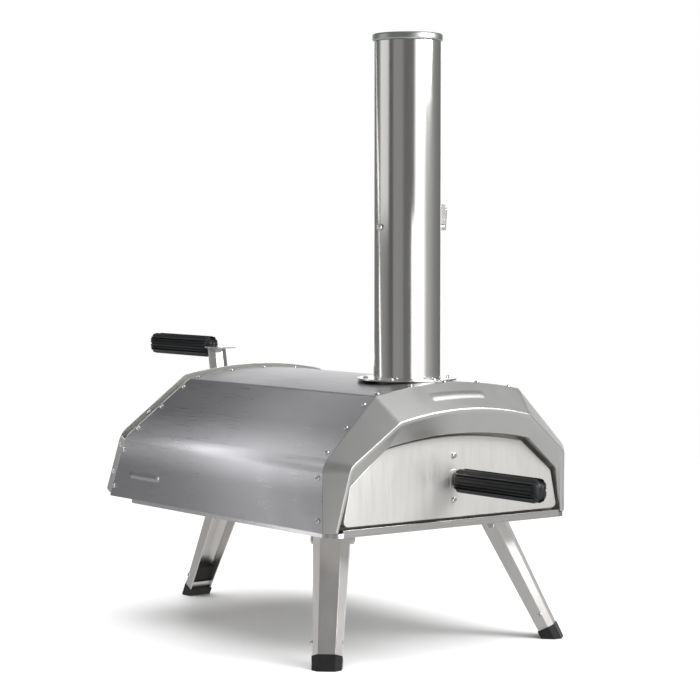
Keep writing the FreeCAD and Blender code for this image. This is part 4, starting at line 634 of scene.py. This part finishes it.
def button_screw(sizes):
    """A button head with a six sided socket, seat at the origin, head up."""
    head, height, socket = sizes.screw_radius, sizes.screw_height, sizes.socket_radius
    shank, depth, flare = head * SHANK_SHARE, -head * SHANK_DEPTH, socket * SOCKET_FLARE
    profile = [(0.0, height * SOCKET_FLOOR), (socket, height * SOCKET_FLOOR),
               (socket, height * SOCKET_LIP), (flare, height)]
    for step in range(1, HEAD_STEPS + 1):
        turn = math.pi / 2 * step / HEAD_STEPS
        reach = flare + (head - flare) * math.sin(turn)
        profile.append((reach, height * (HEAD_EDGE + (1.0 - HEAD_EDGE) * math.cos(turn))))
    profile += [(head, 0.0), (shank, 0.0), (shank, depth), (0.0, depth)]
    form = spun(profile, sizes.round_steps)
    for vertex in form.verts:
        flat = math.hypot(vertex.co.x, vertex.co.y)
        if abs(flat - socket) < socket * 0.02 and vertex.co.z > 0:
            turn = math.atan2(vertex.co.y, vertex.co.x) % (math.pi / 3) - math.pi / 6
            vertex.co.xy *= math.cos(math.pi / 6) / math.cos(turn)
    return form


def screws(node, material, body):
    """Replaces a node's plain screws with button heads."""
    sizes = bpy.context.scene.oven_sizes
    pattern = bpy.data.meshes.new("pattern")
    button = button_screw(sizes)
    button.to_mesh(pattern)
    button.free()
    form = bmesh.new()
    for number, (seat, outward, radius) in enumerate(screw_seats(node)):
        known = len(form.verts)
        form.from_mesh(pattern)
        form.verts.ensure_lookup_table()
        turned = Vector((0, 0, 1)).rotation_difference(outward).to_matrix().to_4x4()
        twist = Matrix.Rotation(number * HEAD_TWIST, 4, "Z")
        size = Matrix.Scale(radius / sizes.screw_radius * HEAD_COVER, 4)
        bmesh.ops.transform(form, matrix=Matrix.Translation(seat) @ turned @ twist @ size,
                            verts=form.verts[known:])
    bpy.data.meshes.remove(pattern)
    piece = finished(form, node + "_heads", material, body)
    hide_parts(node)


def grip(node, name, body):
    """A moulded bar with wide bevels, rounded ends and a moulding line."""
    sizes = bpy.context.scene.oven_sizes
    centre, size = middle(node)
    form = bmesh.new()
    bmesh.ops.create_cube(form, size=1.0,
                          matrix=Matrix.Translation(centre) @ Matrix.Diagonal((*size, 1.0)))
    long_edges = [edge for edge in form.edges
                  if abs(edge.verts[0].co.y - edge.verts[1].co.y) > size.y / 2]
    bmesh.ops.bevel(form, geom=long_edges, offset=sizes.grip_bevel, offset_type="OFFSET",
                    affect="EDGES", segments=3, profile=0.42, material=-1)
    end_edges = [edge for edge in form.edges
                 if all(abs(abs(vertex.co.y - centre.y) - size.y / 2) < ON_PLANE
                        for vertex in edge.verts)]
    bmesh.ops.bevel(form, geom=end_edges, offset=sizes.grip_end, offset_type="OFFSET",
                    affect="EDGES", segments=5, profile=0.45, material=-1)
    for shift in (-1.0, 0.0, 1.0):
        plane = centre + Vector((shift * sizes.grip_groove, 0, 0))
        bmesh.ops.bisect_plane(form, geom=form.verts[:] + form.edges[:] + form.faces[:],
                               dist=MERGED / 2, plane_co=plane, plane_no=(1, 0, 0))
    form.normal_update()
    line = [vertex for vertex in form.verts if abs(vertex.co.x - centre.x) < ON_PLANE]
    for vertex in line:
        vertex.co -= vertex.normal * sizes.grip_groove
    piece = finished(form, name, bpy.data.materials["Black grip"], body, 50.0)
    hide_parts(node)


def pressed_bead(name, node, material, body, centre, along, outward, half, sag_radius):
    """A shallow rounded bead pressed into a sheet, laid on the sheet's own surface."""
    sizes = bpy.context.scene.oven_sizes
    across = outward.cross(along)
    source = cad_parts[node].data
    tree = BVHTree.FromPolygons([vertex.co for vertex in source.vertices],
                                [face.vertices[:] for face in source.polygons])
    form = bmesh.new()
    bmesh.ops.create_grid(form, x_segments=72, y_segments=18, size=1.0)
    reach = sizes.bead_width * 1.25
    for vertex in form.verts:
        run, rise = vertex.co.x * (half + reach), vertex.co.y * reach
        beyond = max(abs(run) - half, 0.0)
        fall = min(math.hypot(beyond, rise) / sizes.bead_width, 1.0)
        height = sizes.bead_height * (0.5 + 0.5 * math.cos(math.pi * fall))
        sag = run * run / (2 * sag_radius) if sag_radius else 0.0
        start = centre + along * run + across * (rise - sag) + outward * BEAD_RAY_START
        place, normal, _, _ = tree.ray_cast(start, -outward)
        if place is None:
            raise RuntimeError(f"the bead {name} runs off {node}")
        vertex.co = place + normal * (height - BEAD_SINK)
    form.normal_update()
    if form.faces[:][0].normal.dot(outward) < 0:
        bmesh.ops.reverse_faces(form, faces=form.faces)
    bmesh.ops.solidify(form, geom=form.faces[:], thickness=BEAD_THICKNESS)
    return finished(form, name, material, body, 60.0)


# ---- one operator for each piece or group of pieces --------------------------------------

class OVEN_OT_effects(bpy.types.Operator):
    """Build the surface effects that the finishes share"""

    bl_idname = "oven.effects"
    bl_label = "Surface effects"

    def execute(self, context):
        for build in (brushed_grain, handling_marks, painted_edge_highlights, blast_texture, heat_stain,
                      moulded_texture, stone_grain, fibre_felt):
            build()
        return {"FINISHED"}


class OVEN_OT_shell(bpy.types.Operator):
    """Finish the arched shell, its tray and its fascias, and press their beads"""

    bl_idname = "oven.shell"
    bl_label = "Shell and fascias"

    def execute(self, context):
        colours = context.scene.oven_colours
        shell = brushed_steel("Brushed shell", colours.shell, (1.0, 0.02, 1.0), rough=0.31,
                              bend=BEND_HEIGHT)
        tray = brushed_steel("Bright tray", colours.tray, (0.03, 1.0, 1.0), rough=0.22)
        blasted = blasted_steel("Blasted fascia", colours.fascia)
        dress(shell, "outer_shell")
        dress(tray, "base_tray")
        dress(blasted, "front_fascia", "rear_fascia")
        crown = middle("front_fascia")[0]
        bead = Vector((0.0, crown.y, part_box("front_fascia")[1].z - CROWN_BEAD_DROP))
        pressed_bead("crown_bead", "front_fascia", blasted, "oven", bead,
                     Vector((1, 0, 0)), Vector((0, -1, 0)), CROWN_BEAD_HALF, CROWN_ARC_RADIUS)
        low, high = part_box("outer_shell")
        bead = Vector((low.x, high.y - SIDE_BEAD_FROM_REAR, low.z + SIDE_BEAD_RISE))
        pressed_bead("side_bead", "outer_shell", shell, "oven", bead,
                     Vector((0, 1, 0)), Vector((-1, 0, 0)), SIDE_BEAD_HALF, 0.0)
        return {"FINISHED"}


class OVEN_OT_inside(bpy.types.Operator):
    """Finish the liner, blanket, floor, rails, guard and baking stone"""

    bl_idname = "oven.inside"
    bl_label = "Cooking chamber"

    def execute(self, context):
        colours = context.scene.oven_colours
        liner = fired_steel("Fired liner", colours.liner, 0.75)
        mouth = fired_steel("Warm mouth", colours.liner, 0.35)
        dress(liner, "inner_liner", "rear_liner", "ember_guard", "stone_rails", "floor_plate")
        dress(mouth, "mouth_plate")
        dress(blanket("Ceramic fibre", colours.fibre), "insulation")
        dress(baked_stone("Cordierite", colours.stone), "baking_stone")
        return {"FINISHED"}


class OVEN_OT_door(bpy.types.Operator):
    """Finish the door and model its grip"""

    bl_idname = "oven.door"
    bl_label = "Door"

    def execute(self, context):
        colours = context.scene.oven_colours
        dress(brushed_steel("Bright door", colours.door, (1.0, 1.0, 0.02), rough=0.50),
              "door_plate")
        dress(brushed_steel("Bright bracket", colours.leg, (1.0, 0.05, 1.0), rough=0.2),
              "door_bracket")
        dress(fired_steel("Warm plug", colours.liner, 0.45), "door_plug")
        moulded_plastic("Black grip", colours.grip, 0.00004)
        grip("door_grip", "door_grip_moulding", "door")
        return {"FINISHED"}


class OVEN_OT_chimney(bpy.types.Operator):
    """Finish the chimney, its collar, cap and damper, and weld its seam"""

    bl_idname = "oven.chimney"
    bl_label = "Chimney"

    def execute(self, context):
        colours = context.scene.oven_colours
        sizes = context.scene.oven_sizes
        tube = brushed_steel("Bright tube", colours.tube, (1.0, 1.0, 0.01), rough=0.15,
                             spread=0.05, marks=0.2, contrast=0.04, anisotropy=0.2)
        dress(tube, "chimney_tube")
        dress(brushed_steel("Bright collar", colours.tube, (0.5, 0.5, 1.0), rough=0.22),
              "chimney_collar")
        dress(blasted_steel("Satin cap", colours.cap, rough=0.36), "chimney_cap")
        dress(fired_steel("Sooted damper", colours.liner, 0.6), "damper_plate")
        dress(brushed_steel("Damper steel", colours.leg, (1.0, 1.0, 0.05), rough=0.25),
              "damper_axle", "damper_lever")
        centre, size = middle("chimney_tube")
        rear = Vector((centre.x, centre.y + size.x / 2, centre.z))
        seam = bmesh.new()
        bmesh.ops.create_cone(seam, cap_ends=True, segments=12,
                              radius1=sizes.seam_width / 2, radius2=sizes.seam_width / 2,
                              depth=size.z - 0.002)
        bmesh.ops.scale(seam, vec=(1.0, 0.28, 1.0), verts=seam.verts)
        bmesh.ops.translate(seam, vec=rear, verts=seam.verts)
        finished(seam, "tube_seam", tube, "chimney", 60.0)
        return {"FINISHED"}


class OVEN_OT_fuel_box(bpy.types.Operator):
    """Finish the fuel box, tray, grate and hatch, and model the hatch grip"""

    bl_idname = "oven.fuel_box"
    bl_label = "Fuel box and hatch"

    def execute(self, context):
        colours = context.scene.oven_colours
        box = brushed_steel("Fuel box steel", colours.shell, (0.03, 1.0, 1.0), rough=0.3)
        dress(box, "fuel_box", "hatch_plate")
        dress(bpy.data.materials["Bright bracket"], "hatch_bracket")
        dress(fired_steel("Burnt tray", colours.liner, 0.8), "fuel_tray", "hatch_plug")
        dress(fired_steel("Burnt grate", colours.liner, 1.0), "fuel_grate")
        grip("hatch_grip", "hatch_grip_moulding", "hatch")
        return {"FINISHED"}


class OVEN_OT_legs(bpy.types.Operator):
    """Finish the folding legs, their brackets, straps and feet"""

    bl_idname = "oven.legs"
    bl_label = "Folding legs"

    def execute(self, context):
        colours = context.scene.oven_colours
        steel = brushed_steel("Bright leg", colours.leg, (1.0, 1.0, 0.04), rough=0.34,
                              marks=0.4)
        foot = moulded_plastic("Black foot", colours.foot, 0.00006)
        for leg in LEGS:
            dress(steel, leg + "_leg", leg + "_leg_bracket", leg + "_leg_strap")
            dress(foot, leg + "_foot")
        return {"FINISHED"}


class OVEN_OT_fasteners(bpy.types.Operator):
    """Replace the plain screws with button heads and finish the hinge bolts"""

    bl_idname = "oven.fasteners"
    bl_label = "Fasteners"

    def execute(self, context):
        colours = context.scene.oven_colours
        plated = brushed_steel("Bright fastener", colours.fastener, (1.0, 1.0, 1.0), rough=0.18,
                               marks=0.1)
        for body, nodes in SCREWS.items():
            for node in nodes:
                screws(node, plated, body)
        for leg in LEGS:
            screws(leg + "_foot_screws", plated, leg + "_leg")
            dress(plated, leg + "_hinge_bolt")
        dress(plated, "hinge_bushes")
        return {"FINISHED"}


class OVEN_OT_studio(bpy.types.Operator):
    """Lay the pale floor and set the soft light and the camera"""

    bl_idname = "oven.studio"
    bl_label = "Studio"

    def execute(self, context):
        studio = context.scene.oven_studio
        self.floor(studio)
        self.surround(context.scene, studio)
        self.overhead(studio)
        for name, (place, target, size, power) in SOFTBOXES.items():
            self.lamp(name, place, target, size, power * studio.softboxes)
        self.camera(context.scene, studio)
        context.scene.view_settings.view_transform = "Standard"
        return {"FINISHED"}

    def floor(self, studio):
        """A round pale floor."""
        material, sheet, shader, place = blank_material("Pale floor")
        cloud = sheet.noise(place, 3.0, 3.0, 0.5)
        tone = sheet.blended(cloud, solid(studio.floor, 0.99), solid(studio.floor))
        sheet.feed(shader.inputs["Base Color"], tone)
        shader.inputs["Roughness"].default_value = 0.55
        shader.inputs["Specular IOR Level"].default_value = 0.25
        form = bmesh.new()
        bmesh.ops.create_circle(form, cap_ends=True, segments=96, radius=FLOOR_RADIUS)
        mesh = bpy.data.meshes.new("studio_floor")
        form.to_mesh(mesh)
        form.free()
        mesh.materials.append(material)
        floor = bpy.data.objects.new("studio_floor", mesh)
        bpy.context.scene.collection.objects.link(floor)
        floor.visible_glossy = False

    def overhead(self, studio):
        """A wide light from straight above."""
        light = bpy.data.lights.new("Overhead", "SUN")
        light.energy = studio.overhead
        light.angle = math.radians(OVERHEAD_SPREAD)
        holder = bpy.data.objects.new("Overhead", light)
        holder.visible_glossy = False
        bpy.context.scene.collection.objects.link(holder)

    def lamp(self, name, place, target, size, power):
        """A softbox aimed at a point."""
        lamp = bpy.data.lights.new(name, "AREA")
        lamp.shape = "RECTANGLE"
        lamp.size, lamp.size_y = size
        lamp.energy = power
        holder = bpy.data.objects.new(name, lamp)
        holder.location = place
        aim = Vector(target) - Vector(place)
        holder.rotation_euler = aim.to_track_quat("-Z", "Y").to_euler()
        holder.visible_camera = False
        bpy.context.scene.collection.objects.link(holder)

    def surround(self, scene, studio):
        """A white studio with dark flags, as bands of light round the oven."""
        world = bpy.data.worlds.new("Studio")
        scene.world = world
        world.use_nodes = True
        sheet = Sheet(world.node_tree)
        world.node_tree.nodes.remove(world.node_tree.nodes["Background"])
        way = sheet.add("ShaderNodeTexCoord").outputs["Generated"]
        turned = sheet.add("ShaderNodeMapping", {"vector_type": "POINT"}, Vector=way,
                           Rotation=(0.0, 0.0, math.radians(90 + VIEW_TURN)))
        round_it = sheet.add("ShaderNodeTexGradient", {"gradient_type": "RADIAL"},
                             Vector=turned.outputs[0])
        bands = sheet.add("ShaderNodeValToRGB", Fac=round_it.outputs["Fac"])
        self.fill(bands.color_ramp, [(degrees / 360 + 0.5, level) for degrees, level in BANDS])
        rise = sheet.add("ShaderNodeSeparateXYZ", Vector=way).outputs["Z"]
        dome = sheet.add("ShaderNodeValToRGB", Fac=rise)
        self.fill(dome.color_ramp, DOME)
        share_of_dome = sheet.spread(rise, 0.1, 0.6)
        share_under = sheet.spread(rise, -0.06, -0.32)
        level = sheet.blended(share_under, bands.outputs["Color"], solid((UNDER,) * 3))
        light = sheet.blended(share_of_dome, level, dome.outputs["Color"])
        lit = sheet.add("ShaderNodeBackground", Color=light, Strength=studio.surround * 2.0)
        seen = sheet.add("ShaderNodeBackground", Color=solid(studio.backdrop), Strength=1.0)
        path = sheet.add("ShaderNodeLightPath").outputs["Is Camera Ray"]
        mix = sheet.add("ShaderNodeMixShader", Fac=path)
        sheet.feed(mix.inputs[1], lit.outputs[0])
        sheet.feed(mix.inputs[2], seen.outputs[0])
        sheet.feed(world.node_tree.nodes["World Output"].inputs["Surface"], mix.outputs[0])

    def fill(self, ramp, stops):
        """Sets a ramp's grey levels."""
        while len(ramp.elements) > 1:
            ramp.elements.remove(ramp.elements[-1])
        ramp.elements[0].position = stops[0][0]
        ramp.elements[0].color = (stops[0][1],) * 3 + (1.0,)
        for position, level in stops[1:]:
            ramp.elements.new(position).color = (level,) * 3 + (1.0,)

    def camera(self, scene, studio):
        """The camera, level but for its dip."""
        lens = bpy.data.cameras.new("Studio camera")
        lens.lens = studio.lens
        lens.sensor_width = 36.0
        lens.clip_end = 100.0
        camera = bpy.data.objects.new("Studio camera", lens)
        camera.location = VIEW_PLACE
        camera.rotation_euler = (math.radians(90 - VIEW_DIP), 0.0, math.radians(-VIEW_TURN))
        scene.collection.objects.link(camera)
        scene.camera = camera


class OVEN_PT_panel(bpy.types.Panel):
    """Lists the oven's pieces, sizes and colours"""

    bl_idname = "OVEN_PT_panel"
    bl_label = "Pizza oven"
    bl_space_type = "VIEW_3D"
    bl_region_type = "UI"
    bl_category = "Pizza Oven"

    def draw(self, context):
        for operator in OPERATORS:
            self.layout.operator(operator.bl_idname, text=operator.bl_label)
        for name in ("oven_sizes", "oven_colours", "oven_studio"):
            box = self.layout.box()
            group = getattr(context.scene, name)
            for key in group.__annotations__:
                box.prop(group, key)


OPERATORS = (OVEN_OT_effects, OVEN_OT_shell, OVEN_OT_inside, OVEN_OT_door, OVEN_OT_chimney,
             OVEN_OT_fuel_box, OVEN_OT_legs, OVEN_OT_fasteners, OVEN_OT_studio)
CLASSES = (OvenColours, OvenSizes, OvenStudio, *OPERATORS, OVEN_PT_panel)


def register():
    for kind in CLASSES:
        bpy.utils.register_class(kind)
    bpy.types.Scene.oven_colours = PointerProperty(type=OvenColours)
    bpy.types.Scene.oven_sizes = PointerProperty(type=OvenSizes)
    bpy.types.Scene.oven_studio = PointerProperty(type=OvenStudio)


def unregister():
    del bpy.types.Scene.oven_studio
    del bpy.types.Scene.oven_sizes
    del bpy.types.Scene.oven_colours
    for kind in reversed(CLASSES):
        bpy.utils.unregister_class(kind)


def main():
    """Builds every piece."""
    register()
    bpy.ops.oven.effects()
    bpy.ops.oven.shell()
    bpy.ops.oven.inside()
    bpy.ops.oven.door()
    bpy.ops.oven.chimney()
    bpy.ops.oven.fuel_box()
    bpy.ops.oven.legs()
    bpy.ops.oven.fasteners()
    bpy.ops.oven.studio()


if __name__ == "__main__":
    main()
